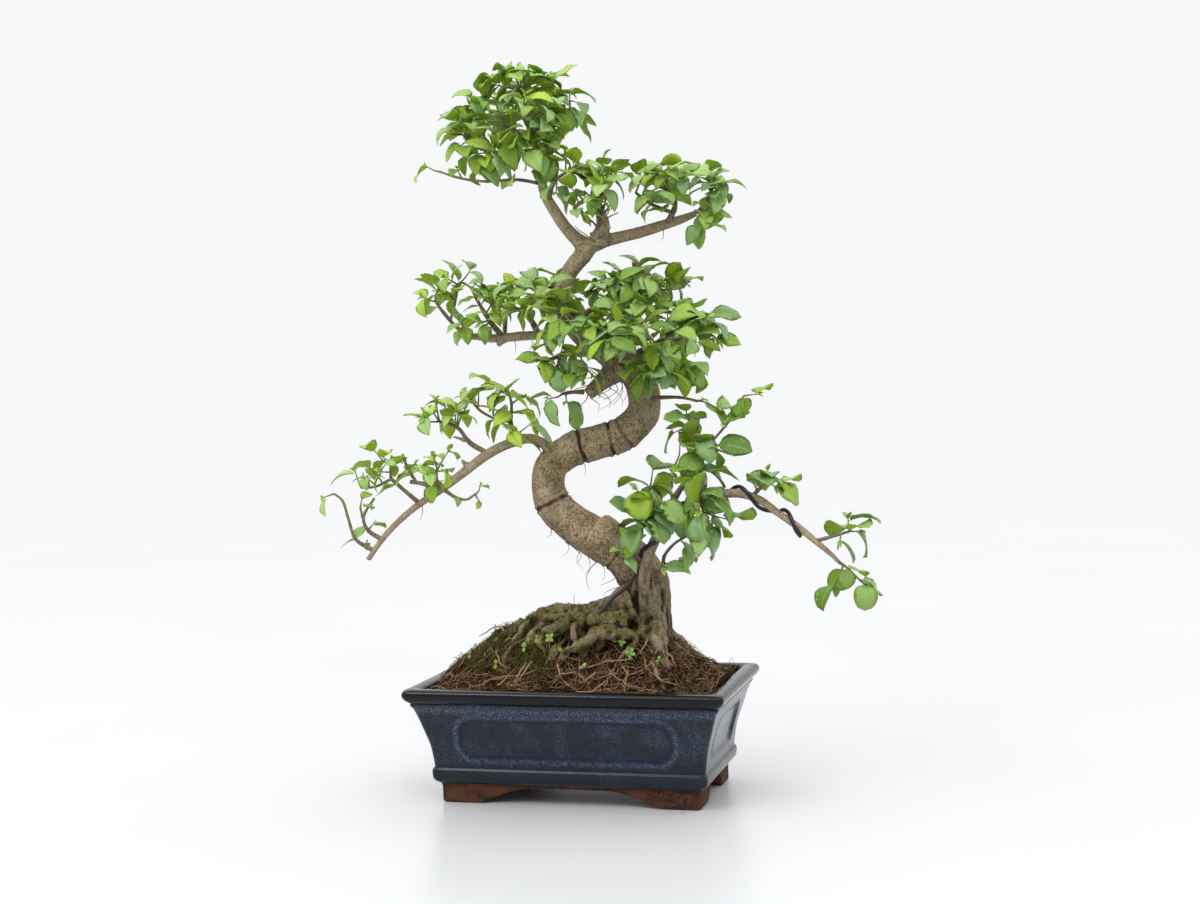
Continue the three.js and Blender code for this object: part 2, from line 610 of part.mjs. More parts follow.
// Each spray is a woody stem with side boughs through [x, y, z, radius], and shoots that
// end at tips [x, y, z, leaves, leaf length].
const SPRAYS = {
  apex: {
    stem: [
      [-23, -4, 478, 3.6], [-25, -3, 492, 3], [-30, 0, 510, 2.4], [-35, 2, 530, 1.9],
      [-39, 2, 548, 1.3],
    ],
    boughs: [
      [[-27, -1, 500, 1.8], [-45, -8, 499, 1.5], [-61, -14, 499, 1.3], [-77, -18, 509, 1.1]],
      [[-30, 0, 510, 1.7], [-57, 14, 522, 1.4], [-82, 24, 536, 1.1]],
      [[-31, 1, 515, 1.7], [-17, 10, 523, 1.4], [-4, 16, 530, 1.1]],
      [[-29, 0, 507, 1.6], [-26, -20, 515, 1.3], [-28, -34, 522, 1.1]],
      [[-33, 2, 520, 1.6], [-34, 24, 533, 1.3], [-35, 38, 541, 1.1]],
    ],
    tips: [
      [-60, -6, 553, 2, 24], [-42, -10, 560, 2, 24], [-31, 6, 560, 2, 24], [-11, -6, 551, 2, 24],
      [0, 2, 541, 2, 26], [-76, -8, 543, 2, 24], [-84, -20, 525, 2, 24], [-81, -24, 504, 2, 24],
      [-64, -20, 490, 2, 26], [-24, -38, 535, 2, 24], [-9, -28, 528, 2, 24],
      [-25, -30, 497, 2, 26], [-6, -20, 500, 2, 25], [-46, -32, 506, 1, 24], [-57, 36, 562, 2, 24],
      [-28, 38, 554, 2, 24], [-93, 36, 526, 2, 24], [-68, 52, 539, 2, 24], [-5, 34, 526, 2, 24],
      [-53, 40, 506, 2, 24],
    ],
  },
  apex_low: {
    stem: [[-17, -5, 461, 2.4], [-11, -14, 471, 1.7], [-3, -20, 477, 1.3], [7, -22, 481, 1.1]],
    boughs: [],
    tips: [
      [1, -18, 489, 1, 23], [16, -20, 484, 1, 22], [-5, -26, 465, 1, 20],
    ],
  },
  apex_side: {
    stem: [
      [-24, -8, 474, 1.5], [-41, -14, 477, 1.2], [-61, -20, 476, 1.1], [-81, -24, 479, 1],
      [-98, -26, 485, 0.9],
    ],
    boughs: [],
    tips: [
      [-107, -27, 489, 1, 20], [-83, -26, 485, 1, 15], [-60, -30, 478, 1, 18],
    ],
  },
  right_stump: {
    stem: [[24, -4, 450, 3.4], [22, -5, 459, 2.6], [20, -6, 467, 1.9]],
    boughs: [
      [[22, -5, 457, 1.6], [14, -16, 458, 1.3], [8, -24, 452, 1.1]],
      [[23, -5, 459, 1.6], [24, 8, 469, 1.3], [23, 20, 480, 1.1]],
    ],
    tips: [
      [5, -14, 467, 2, 22], [20, -18, 476, 2, 23], [34, -26, 469, 2, 23], [36, -8, 479, 2, 22],
      [16, -28, 447, 1, 20], [20, 12, 485, 2, 22], [24, 34, 484, 2, 22],
    ],
  },
  right_mid: {
    stem: [[73, 13, 441, 2.8], [79, 12, 453, 2.2], [77, 10, 465, 1.7], [72, 8, 474, 1.2]],
    boughs: [
      [[76, 12, 448, 1.7], [63, 2, 454, 1.4], [52, -4, 463, 1.1]],
      [[78, 12, 457, 1.6], [69, 32, 467, 1.3], [59, 48, 475, 1.1]],
    ],
    tips: [
      [48, -10, 472, 2, 22], [62, -16, 476, 2, 22], [67, -14, 459, 2, 21], [79, -8, 477, 2, 22],
      [89, 0, 473, 2, 22], [49, 26, 479, 2, 22], [66, 22, 484, 2, 22], [75, 44, 479, 2, 22],
    ],
  },
  right_tip: {
    stem: [[95, 19, 447, 2.2], [102, 16, 454, 1.7], [108, 13, 462, 1.3]],
    boughs: [
      [[98, 18, 450, 1.4], [99, 6, 441, 1.1]],
    ],
    tips: [
      [98, -6, 475, 2, 22], [104, 12, 477, 2, 22], [115, 4, 467, 2, 23], [110, 18, 456, 1, 23],
      [102, 0, 436, 2, 22],
    ],
  },
  mid_left_outer: {
    stem: [[-96, 27, 358, 2], [-107, 25, 367, 1.7], [-115, 20, 378, 1.4], [-120, 16, 387, 1.1]],
    boughs: [
      [[-110, 22, 372, 1.3], [-105, 22, 388, 1.1], [-103, 22, 400, 1]],
    ],
    tips: [
      [-127, 10, 390, 2, 22], [-121, 24, 395, 2, 21], [-110, 14, 405, 2, 20],
      [-93, 24, 411, 2, 22], [-97, 12, 370, 2, 18], [-124, 40, 400, 1, 20],
    ],
  },
  mid_left_inner: {
    stem: [[-66, 18, 358, 2.4], [-74, 15, 369, 2], [-81, 12, 382, 1.5], [-87, 10, 395, 1.1]],
    boughs: [
      [[-63, 18, 360, 1.4], [-63, 22, 377, 1.2], [-67, 24, 390, 1]],
    ],
    tips: [
      [-82, 2, 399, 1, 19], [-68, 6, 387, 2, 20], [-70, 34, 398, 2, 21], [-76, -4, 366, 1, 17],
    ],
  },
  mid_left_root: {
    stem: [[-33, 9, 359, 2.6], [-39, 6, 372, 2.1], [-45, 3, 383, 1.6], [-49, 0, 394, 1.2]],
    boughs: [
      [[-41, 5, 376, 1.5], [-26, -12, 385, 1.2], [-16, -22, 392, 1]],
    ],
    tips: [
      [-49, -10, 377, 2, 22], [-49, -6, 397, 2, 22], [-36, 8, 399, 2, 23], [-13, -26, 394, 2, 23],
      [-26, -24, 380, 2, 22], [-52, 26, 392, 2, 22],
    ],
  },
  crown_left: {
    stem: [[-3, -8, 369, 3], [-5, -26, 369, 2.2], [-2, -44, 373, 1.6]],
    boughs: [],
    tips: [
      [-12, -34, 369, 2, 23], [5, -40, 385, 2, 24], [-6, -44, 355, 2, 23], [15, -62, 360, 2, 23],
    ],
  },
  crown_front: {
    stem: [[23, -6, 347, 3], [30, -28, 353, 2.3], [39, -50, 361, 1.7]],
    boughs: [],
    tips: [
      [29, -56, 361, 2, 24], [42, -48, 373, 2, 24], [57, -66, 360, 2, 24], [45, -74, 350, 2, 24],
    ],
  },
  crown_right_front: {
    stem: [[36, 4, 334, 3.2], [61, -22, 344, 2.3], [79, -38, 349, 1.8], [94, -46, 350, 1.3]],
    boughs: [],
    tips: [
      [64, -40, 360, 2, 24], [80, -52, 340, 2, 24], [93, -58, 356, 2, 23], [106, -50, 347, 2, 22],
    ],
  },
  crown_right: {
    stem: [[41, 14, 332, 3], [58, 16, 346, 2.4], [79, 12, 358, 1.9], [95, 8, 363, 1.4]],
    boughs: [],
    tips: [
      [89, -4, 371, 2, 25], [105, -8, 367, 2, 27], [110, -2, 350, 2, 22], [86, 22, 353, 2, 23],
      [69, 20, 372, 2, 24],
    ],
  },
  crown_top: {
    stem: [[0, 4, 366, 3], [12, 12, 377, 2.4], [31, 14, 387, 1.9], [50, 13, 395, 1.4]],
    boughs: [
      [[22, 13, 383, 1.5], [32, -6, 393, 1.2]],
    ],
    tips: [
      [24, -14, 394, 2, 24], [40, -18, 395, 2, 24], [49, 2, 403, 2, 24], [65, -12, 396, 2, 24],
      [69, 10, 389, 2, 23], [84, 14, 393, 1, 22], [60, -22, 376, 2, 24], [35, 38, 402, 2, 24],
    ],
  },
  crown_back: {
    stem: [[13, 10, 347, 3], [16, 34, 360, 2.4], [18, 56, 371, 1.8]],
    boughs: [],
    tips: [
      [-4, 60, 372, 2, 24], [13, 66, 385, 2, 24], [38, 58, 377, 2, 24], [18, 76, 359, 2, 24],
    ],
  },
  crown_back_left: {
    stem: [[-11, 4, 381, 2.6], [-24, 26, 387, 2], [-39, 44, 386, 1.4]],
    boughs: [],
    tips: [
      [-44, 54, 390, 2, 23], [-22, 42, 400, 2, 24], [-19, 66, 386, 2, 24],
    ],
  },
  crown_low_left: {
    stem: [[13, -6, 346, 2.6], [-1, -18, 343, 2], [-16, -24, 337, 1.6], [-26, -28, 339, 1.2]],
    boughs: [
      [[-7, -21, 341, 1.4], [-9, -26, 326, 1]],
    ],
    tips: [
      [-25, -30, 344, 1, 22], [-10, -32, 331, 1, 24], [6, -34, 338, 2, 22], [19, -30, 327, 2, 21],
    ],
  },
  crown_low_right: {
    stem: [[46, 6, 320, 2.6], [65, -20, 330, 1.8], [81, -28, 333, 1.3]],
    boughs: [
      [[72, -24, 332, 1.2], [89, -16, 334, 1], [99, -14, 329, 0.9]],
    ],
    tips: [
      [52, -30, 325, 1, 24], [67, -40, 327, 2, 24], [81, -36, 326, 2, 25], [91, -28, 330, 2, 25],
      [101, -14, 326, 1, 23],
    ],
  },
  stub_low: {
    stem: [[6, -4, 312, 2], [-1, -12, 312, 1.5], [-7, -18, 311, 1.2]],
    boughs: [],
    tips: [
      [-3, -20, 306, 1, 27], [-15, -24, 308, 2, 25],
    ],
  },
  low_left_a: {
    stem: [[-68, -23, 267, 2.2], [-81, -24, 275, 1.9], [-90, -26, 287, 1.5], [-104, -28, 292, 1.2]],
    boughs: [],
    tips: [
      [-109, -30, 301, 2, 22], [-102, -18, 302, 1, 19], [-88, -34, 298, 2, 19],
      [-112, -40, 294, 2, 21], [-86, -22, 299, 1, 16], [-104, -34, 307, 1, 22],
    ],
  },
  low_left_b: {
    stem: [[-48, -18, 274, 2.4], [-49, -16, 285, 2], [-51, -14, 295, 1.5]],
    boughs: [
      [[-50, -15, 290, 1.3], [-65, -10, 293, 1.1], [-79, -8, 301, 1], [-88, -8, 314, 0.9]],
      [[-50, -15, 292, 1.4], [-48, -18, 304, 1.2], [-50, -20, 315, 1]],
    ],
    tips: [
      [-65, -18, 320, 1, 24], [-50, -26, 312, 2, 20], [-36, -24, 309, 2, 22],
      [-34, -30, 298, 1, 21], [-31, -28, 288, 1, 25], [-47, -30, 284, 1, 21], [-89, -8, 316, 1, 8],
    ],
  },
  low_left_c: {
    stem: [[-102, -34, 240, 2], [-115, -36, 244, 1.8], [-126, -38, 246, 1.5]],
    boughs: [
      [[-121, -37, 245, 1.4], [-127, -40, 257, 1.2], [-130, -42, 268, 1]],
      [[-105, -34, 241, 1.2], [-107, -30, 253, 1]],
    ],
    tips: [
      [-109, -44, 252, 2, 18], [-106, -26, 245, 1, 22], [-125, -32, 259, 1, 17],
      [-109, -30, 264, 2, 17], [-100, -22, 268, 1, 22],
    ],
  },
  low_left_d: {
    stem: [[-119, -37, 229, 2], [-131, -40, 240, 1.7], [-140, -43, 249, 1.4]],
    boughs: [
      [[-140, -43, 249, 1.2], [-139, -45, 259, 1]],
      [[-141, -43, 248, 1.2], [-152, -44, 243, 1], [-164, -44, 242, 0.9]],
    ],
    tips: [
      [-144, -46, 265, 2, 20], [-153, -40, 270, 1, 22], [-170, -40, 253, 1, 24],
      [-158, -50, 250, 1, 15], [-143, -54, 255, 2, 19], [-135, -36, 261, 1, 16],
    ],
  },
  low_left_e: {
    stem: [
      [-149, -44, 202, 1.8], [-159, -46, 209, 1.5], [-162, -47, 220, 1.2], [-153, -46, 234, 1],
    ],
    boughs: [
      [[-163, -47, 219, 1.1], [-164, -48, 227, 0.9]],
    ],
    tips: [
      [-162, -50, 233, 1, 15], [-155, -44, 214, 1, 13],
    ],
  },
  low_left_f: {
    stem: [
      [-155, -45, 193, 1.8], [-169, -47, 202, 1.4], [-174, -48, 217, 1.2], [-178, -49, 232, 1],
      [-185, -49, 238, 0.9],
    ],
    boughs: [],
    tips: [
      [-191, -52, 236, 1, 19], [-162, -44, 199, 1, 11],
    ],
  },
  low_left_g: {
    stem: [[-100, -33, 239, 1.6], [-92, -30, 233, 1.2], [-84, -28, 231, 1], [-77, -26, 235, 0.9]],
    boughs: [],
    tips: [
      [-74, -24, 241, 1, 13], [-74, -26, 230, 1, 8],
    ],
  },
  wired_up: {
    stem: [
      [76, -28, 213, 2.9], [80, -30, 227, 2.6], [90, -32, 242, 2.2], [98, -33, 256, 1.8],
      [103, -33, 267, 1.5],
    ],
    boughs: [
      [[102, -33, 265, 1.3], [97, -30, 278, 1.1], [94, -28, 289, 1]],
      [[102, -33, 264, 1.3], [113, -32, 274, 1.1], [126, -30, 289, 1], [136, -28, 306, 0.9]],
      [[95, -32, 250, 1.2], [79, -24, 252, 1]],
    ],
    tips: [
      [92, -26, 295, 2, 18], [82, -24, 280, 1, 20], [85, -22, 270, 1, 17], [103, -40, 273, 1, 24],
      [117, -40, 271, 1, 26], [122, -36, 284, 1, 24], [135, -28, 303, 2, 18],
      [145, -26, 307, 1, 22], [105, -44, 254, 1, 30], [78, -18, 250, 1, 24],
    ],
  },
  wired_inner: {
    stem: [[65, -24, 198, 1.8], [59, -22, 212, 1.5], [54, -24, 226, 1.3], [62, -26, 238, 1.1]],
    boughs: [
      [[60, -22, 211, 1.1], [51, -26, 214, 1]],
    ],
    tips: [
      [54, -32, 237, 1, 30], [65, -28, 251, 1, 28], [54, -32, 218, 1, 26], [74, -44, 228, 1, 26],
    ],
  },
  wired_mid: {
    stem: [[101, -37, 227, 2], [104, -42, 236, 1.5], [110, -46, 241, 1.2]],
    boughs: [
      [[103, -41, 234, 1.2], [108, -50, 222, 1]],
    ],
    tips: [
      [98, -46, 239, 1, 27], [113, -58, 234, 1, 30], [126, -52, 247, 1, 26],
      [108, -54, 210, 1, 32], [123, -50, 217, 1, 30],
    ],
  },
  wired_outer: {
    stem: [[144, -46, 233, 1.8], [152, -48, 240, 1.4], [161, -50, 247, 1.1]],
    boughs: [],
    tips: [
      [145, -52, 243, 1, 28], [156, -46, 250, 1, 18], [162, -54, 241, 1, 24],
      [168, -46, 243, 1, 21],
    ],
  },
  wired_tip: {
    stem: [[193, -56, 201, 1.6], [204, -58, 204, 1.2], [217, -60, 208, 0.9]],
    boughs: [],
    tips: [
      [216, -60, 215, 1, 25], [222, -62, 208, 1, 24], [210, -62, 202, 1, 20],
    ],
  },
  wired_end: {
    stem: [[208, -59, 186, 1.5], [215, -60, 181, 1], [223, -60, 173, 0.9], [229, -60, 168, 0.9]],
    boughs: [],
    tips: [
      [206, -62, 170, 1, 27], [216, -58, 177, 1, 24],
      [225, -62, 173, 1, 12],
    ],
  },
  base_left: {
    stem: [[35, -7, 179, 1.9], [41, -22, 189, 1.2], [49, -26, 196, 1]],
    boughs: [],
    tips: [
      [43, -32, 188, 2, 16], [47, -24, 203, 1, 21],
    ],
  },
  base_right: {
    stem: [
      [52, -2, 168, 2.2], [66, -8, 174, 1.8], [69, -14, 185, 1.4], [78, -18, 195, 1.1],
      [88, -20, 201, 1],
    ],
    boughs: [],
    tips: [
      [70, -20, 178, 1, 23], [80, -14, 181, 1, 21], [92, -24, 203, 1, 22],
    ],
  },
  side_twig: {
    stem: [[52, 8, 305, 1.9], [64, 1, 306, 1.7], [83, -8, 306, 1.2], [98, -14, 303, 1]],
    boughs: [],
    tips: [
      [102, -18, 304, 1, 27], [87, -16, 301, 1, 19], [112, -18, 298, 1, 26],
    ],
  },
};

// How far a tip's choice of its root favours wood nearer the spray's base.
const ROOT_PULL = 0.3;

// A spray's own wood as sampled lines: its stem, then its boughs.
function sprayLines(spray) {
  return [spray.stem, ...spray.boughs].map((line) => alongLimb(line, 2));
}

// The shoot that ends at a tip, from the nearest of its spray's wood.
function shootTo([x, y, z, leaves, size], samples) {
  const tip = new THREE.Vector3(x, y, z);
  const base = samples[0].point;
  const cost = (p) => p.distanceTo(tip) + ROOT_PULL * p.distanceTo(base);
  const from = samples.map((s) => s.point).reduce((a, b) => (cost(b) < cost(a) ? b : a));
  return { from, tip, axis: tip.clone().sub(from).normalize(), leaves, size };
}

// How far back from its shoot's tip the second leaf of a pair is rooted.
const PARTNER_BACK = 2;

// Only one tip in so many carries both leaves of its pair.
const PARTNER_EVERY = 5;

// How far a leaf's face leans out along its shoot, how far the leaf itself points along it,
// and how far it sags.
const LEAN_OUT = 0.45;
const FORWARD = 0.55;
const SAG = 0.05;

// One leaf of a pair. The two stand across from each other on the shoot's tip.
function leafAt(shoot, turn, hand, draw) {
  const axis = shoot.axis;
  const flat = UP.clone().cross(axis);
  if (flat.length() < 0.2) flat.set(1, 0, 0);
  flat.normalize();
  const rise = axis.clone().cross(flat);
  const along = flat
    .clone()
    .multiplyScalar(hand * Math.cos(turn))
    .addScaledVector(rise, hand * Math.sin(turn))
    .addScaledVector(axis, FORWARD);
  along.z -= SAG;
  along.normalize();
  const normal = UP.clone()
    .addScaledVector(axis, LEAN_OUT)
    .addScaledVector(along.clone().cross(UP), draw.tilt);
  normal.addScaledVector(along, -normal.dot(along)).normalize();
  const length = shoot.size * (hand > 0 ? draw.big : draw.small);
  return {
    base: shoot.tip.clone().addScaledVector(axis, hand > 0 ? 0 : -PARTNER_BACK),
    along,
    normal,
    side: normal.clone().cross(along),
    length,
    width: length * (shoot.size > BROAD_FROM ? BROAD : SLIM),
    droop: draw.droop,
    fold: draw.fold,
  };
}

// Places [share, across] on a leaf that are kept as far as can be from other leaves.
const MARKS = [[0.4, -1], [0.4, 1], [0.7, 0], [1, 0]];
const TURNS_TRIED = 12;
const TURN_RANGE = 1.8;
const NO_NEIGHBOUR = 1e6;

// Ways to turn the leaves at a shoot's tip, with those that have the most room first.
function leafChoices(shoot, seed, marked) {
  const roll = dice(seed);
  const draw = {
    big: 0.95 + 0.13 * roll(),
    small: 0.84 + 0.16 * roll(),
    droop: 0.5 + 0.7 * roll(),
    fold: 0.12 + 0.2 * roll(),
    tilt: 1.1 * (roll() - 0.5),
  };
  const choices = [];
  for (let i = 0; i < TURNS_TRIED; i++) {
    const turn = TURN_RANGE * (roll() - 0.5);
    const leaves = [1, -1].slice(0, shoot.leaves).map((hand) => leafAt(shoot, turn, hand, draw));
    const marks = leaves.flatMap((leaf) => MARKS.map(([s, across]) => onLeaf(leaf, s, across, 0)));
    const room = Math.min(
      NO_NEIGHBOUR,
      ...marks.flatMap((mark) => marked.map((other) => mark.distanceTo(other))),
    );
    choices.push({ room, leaves, marks });
  }
  return choices.sort((a, b) => b.room - a.room);
}

// Whether a solid keeps the gap to every other one.
function standsClear(solid, others) {
  const box = solid.boundingBox();
  return others.every((other) => {
    const far = other.boundingBox();
    const apart = [0, 1, 2].some(
      (k) => box.min[k] - GAP > far.max[k] || far.min[k] - GAP > box.max[k],
    );
    return apart || solid.minGap(other, GAP) >= GAP;
  });
}

// Assembly

const MATERIALS = {
  glaze: new THREE.MeshStandardMaterial({ color: 0x1d2836, roughness: 0.25, metalness: 0 }),
  bark: new THREE.MeshStandardMaterial({ color: 0x8b7a63, roughness: 0.9, metalness: 0 }),
  soil: new THREE.MeshStandardMaterial({ color: 0x3d2819, roughness: 1, metalness: 0 }),
  leaf: new THREE.MeshStandardMaterial({ color: 0x5f9a2e, roughness: 0.5, metalness: 0 }),
  wire: new THREE.MeshStandardMaterial({ color: 0x14161a, roughness: 0.45, metalness: 0 }),
  screen: new THREE.MeshStandardMaterial({ color: 0x222222, roughness: 0.7, metalness: 0 }),
};

const pot = makePot();
const wood = largestBody(makeWood());
const woodWithGap = makeWood(GAP);
const wire = largestBody(makeWire().subtract(woodWithGap));
const soil = largestBody(makeSoil().subtract(woodWithGap));
const carriers = [pot, wood, wire, soil];

// Every spray's own wood stands before the first leaf is placed.
const sprays = Object.entries(SPRAYS).map(([name, spray]) => {
  const lines = sprayLines(spray);
  const stems = joined(
    lines.map((line, i) => tube(line.filter((_, j) => j % 2 === 0), i === 0 ? 4 : 3)),
  );
  const solids = [largestBody(stems.subtract(woodWithGap))];
  return { name, tips: spray.tips, samples: lines.flat(), solids };
});

const othersOf = (own) => [
  ...carriers,
  ...sprays.filter((spray) => spray !== own).flatMap((spray) => spray.solids),
];

// A leaf that finds no clear place is left out with its shoot.
const marked = [];
sprays.forEach((own, number) => {
  const others = othersOf(own);
  own.tips.forEach((tip, i) => {
    const shoot = shootTo(tip, own.samples);
    const choice = leafChoices(shoot, number * 100 + i, marked).find(({ leaves }) =>
      standsClear(leafOnShoot(leaves[0], shoot), others),
    );
    if (!choice) return;
    const [first, second] = choice.leaves;
    marked.push(...choice.marks);
    if (second && i % PARTNER_EVERY === 0) {
      const partner = sunkLeaf(second);
      if (standsClear(partner, [...others, ...own.solids])) own.solids.push(partner);
    }
    own.solids.push(leafOnShoot(first, shoot));
  });
});

const bonsai = new THREE.Group();
bonsai.add(meshOf("pot", pot, MATERIALS.glaze));
bonsai.add(meshOf("drain_screen_left", makeScreen(-DRAIN.across), MATERIALS.screen));
bonsai.add(meshOf("drain_screen_right", makeScreen(DRAIN.across), MATERIALS.screen));
bonsai.add(meshOf("soil", soil, MATERIALS.soil));
bonsai.add(meshOf("trunk_and_roots", wood, MATERIALS.bark));
bonsai.add(meshOf("training_wire", wire, MATERIALS.wire));
for (const { name, solids } of sprays) {
  bonsai.add(meshOf(`spray_${name}`, largestBody(joined(solids)), MATERIALS.leaf));
}

// The origin goes under the middle of the whole plant.
const box = new THREE.Box3().setFromObject(bonsai);
const centre = box.getCenter(new THREE.Vector3());
bonsai.position.set(-centre.x, -centre.y, 0);

export default bonsai;
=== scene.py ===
"""A small bonsai tree with an S-shaped trunk, trained in a glazed rectangular pot.

Places are in millimetres from the ground under the middle of the pot, with X along its long side,
-Y towards its front and Z up. Each mesh is moved to the pot's place and turned into metres as it is
made.
"""

import itertools

import bpy
import numpy as np
from mathutils import Matrix, Vector


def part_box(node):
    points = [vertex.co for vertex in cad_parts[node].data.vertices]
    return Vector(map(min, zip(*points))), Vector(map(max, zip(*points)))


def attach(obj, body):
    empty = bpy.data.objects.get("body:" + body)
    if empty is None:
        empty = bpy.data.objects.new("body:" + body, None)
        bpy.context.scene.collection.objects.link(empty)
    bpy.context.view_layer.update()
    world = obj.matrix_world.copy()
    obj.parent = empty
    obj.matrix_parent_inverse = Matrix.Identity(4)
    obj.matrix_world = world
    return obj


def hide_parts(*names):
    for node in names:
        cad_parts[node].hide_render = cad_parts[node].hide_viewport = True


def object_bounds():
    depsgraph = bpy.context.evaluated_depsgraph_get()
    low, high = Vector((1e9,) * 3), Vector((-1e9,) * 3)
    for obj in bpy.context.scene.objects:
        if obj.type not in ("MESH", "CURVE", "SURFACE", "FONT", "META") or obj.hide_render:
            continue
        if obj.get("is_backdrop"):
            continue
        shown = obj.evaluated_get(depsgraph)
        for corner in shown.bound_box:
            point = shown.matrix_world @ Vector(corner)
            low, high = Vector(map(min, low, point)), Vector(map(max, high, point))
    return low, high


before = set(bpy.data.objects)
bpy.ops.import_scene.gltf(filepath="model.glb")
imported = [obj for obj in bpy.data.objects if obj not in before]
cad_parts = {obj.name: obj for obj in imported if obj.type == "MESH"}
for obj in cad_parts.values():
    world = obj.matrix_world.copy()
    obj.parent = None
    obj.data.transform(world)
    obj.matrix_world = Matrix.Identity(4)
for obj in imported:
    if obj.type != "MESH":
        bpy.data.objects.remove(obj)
cad_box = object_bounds()

# Camera. It stands in front of the pot and a little to its right, 1.4 m away and level with the
# lower branches, with the slight roll of the photograph.
pot_middle = np.array([tuple(corner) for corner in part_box("pot")]).mean(axis=0) * (1, 1, 0)
VIEW_TARGET = np.array([17.0, 0.0, 265.0])
VIEW_DISTANCE = 1427.0
azimuth, elevation, roll = np.radians([15.0, 2.5, -1.6])
back = np.array([np.sin(azimuth), -np.cos(azimuth), np.tan(elevation)]) * np.cos(elevation)
level = np.array([np.cos(azimuth), np.sin(azimuth), 0.0])
upward = np.cross(back, level)
camera_data = bpy.data.cameras.new("camera")
camera_data.sensor_width = 36.0
camera_data.lens = 55.2
camera = bpy.data.objects.new("camera", camera_data)
bpy.context.collection.objects.link(camera)
place = Matrix(
    np.array([
        level * np.cos(roll) + upward * np.sin(roll),
        upward * np.cos(roll) - level * np.sin(roll),
        back,
    ]).T.tolist()
).to_4x4()
place.translation = Vector(pot_middle + (VIEW_TARGET + back * VIEW_DISTANCE) / 1000)
camera.matrix_world = place
bpy.context.scene.camera = camera


# Light. A white room with a bright ceiling, a little darker on the camera's side, a soft square
# light in front on the left, and a long thin one over the front of the pot.
def soft_light(name, spot, width, tall, power):
    """An area light at a spot in metres from the pot, aimed at the middle of the tree."""
    data = bpy.data.lights.new(name, "AREA")
    data.shape = "RECTANGLE"
    data.size, data.size_y = width, tall
    data.energy = power
    lamp = bpy.data.objects.new(name, data)
    bpy.context.collection.objects.link(lamp)
    at = Vector(pot_middle + np.array(spot))
    aim = Vector(pot_middle + (0.0, 0.0, 0.28)) - at
    lamp.location = at
    lamp.rotation_euler = aim.to_track_quat("-Z", "Y").to_euler()


soft_light("front_light", (-1.0, -1.5, 2.1), 0.8, 0.8, 10.0)
soft_light("strip_light", (0.1, -1.25, 1.3), 2.0, 0.05, 5.0)


def shader(name, **settings):
    """A material with its Principled BSDF's sockets set by their names in lower case."""
    material = bpy.data.materials.new(name)
    material.use_nodes = True
    tree = material.node_tree
    surface = tree.nodes["Principled BSDF"]
    for socket, value in settings.items():
        surface.inputs[socket.replace("_", " ").title().replace("Ior", "IOR")].default_value = value
    return material, tree, surface


def feed(node, inputs):
    """A node's outputs, once its inputs are set to values or linked to other nodes' sockets."""
    for key, value in inputs.items():
        if isinstance(value, bpy.types.NodeSocket):
            node.id_data.links.new(value, node.inputs[key])
        else:
            node.inputs[key].default_value = value
    return node.outputs


def put(tree, kind, settings=None, **inputs):
    """A new node's outputs. Its inputs are named with _ for each space."""
    node = tree.nodes.new(kind)
    for key, value in (settings or {}).items():
        setattr(node, key, value)
    return feed(node, {key.replace("_", " "): value for key, value in inputs.items()})


def rgb(red, green, blue):
    """A linear colour with full opacity."""
    return (red, green, blue, 1.0)


def noise(tree, size, detail=3.0, stretch=None, rough=0.55):
    """Noise on Object coordinates whose grain is size millimetres, longer where stretched."""
    where = put(tree, "ShaderNodeTexCoord")["Object"]
    if stretch:
        shares = tuple(1.0 / s for s in stretch)
        where = put(tree, "ShaderNodeMapping", Vector=where, Scale=shares)[0]
    return put(tree, "ShaderNodeTexNoise", Vector=where, Scale=1000.0 / size, Detail=detail,
               Roughness=rough)["Fac"]


def between(value, low, high):
    """0 below low and 1 above high, with a smooth step between them. Falls where high < low."""
    falling = high < low
    return put(value.id_data, "ShaderNodeMapRange", {"interpolation_type": "SMOOTHSTEP"},
               Value=value, From_Min=min(low, high), From_Max=max(low, high),
               To_Min=float(falling), To_Max=float(not falling))["Result"]


def blend(share, first, second):
    """A colour that goes from the first to the second as share goes from 0 to 1."""
    node = share.id_data.nodes.new("ShaderNodeMix")
    node.data_type = "RGBA"
    return feed(node, {0: share, 6: first, 7: second})[2]


def two_tone(tree, size, dark, light, detail=3.0):
    """Two colours mixed by noise of a grain in millimetres."""
    return blend(noise(tree, size, detail), rgb(*dark), rgb(*light))


def math(operation, *values):
    """Arithmetic on values, in the tree that one of them comes from."""
    tree = next(value.id_data for value in values if isinstance(value, bpy.types.NodeSocket))
    node = tree.nodes.new("ShaderNodeMath")
    node.operation = operation
    return feed(node, dict(enumerate(values)))[0]


def times(first, second):
    """The product of two values."""
    return math("MULTIPLY", first, second)


def plus(first, second):
    """The sum of two values."""
    return math("ADD", first, second)


def less(first, second):
    """The first value less the second."""
    return math("SUBTRACT", first, second)


WALL_BEHIND, WALL_AHEAD = rgb(0.74, 0.75, 0.76), rgb(0.93, 0.94, 0.95)
CEILING = rgb(1.75, 1.77, 1.80)
room = bpy.data.worlds.new("room")
room.use_nodes = True
bpy.context.scene.world = room
bpy.context.scene.view_settings.view_transform = "Standard"
toward = put(room.node_tree, "ShaderNodeTexCoord")["Generated"]
toward = put(room.node_tree, "ShaderNodeSeparateXYZ", Vector=toward)
walls = blend(between(toward["Y"], -0.8, 0.0), WALL_BEHIND, WALL_AHEAD)
above = between(toward["Z"], 0.35, 0.75)
feed(room.node_tree.nodes["Background"], {"Color": blend(above, walls, CEILING)})


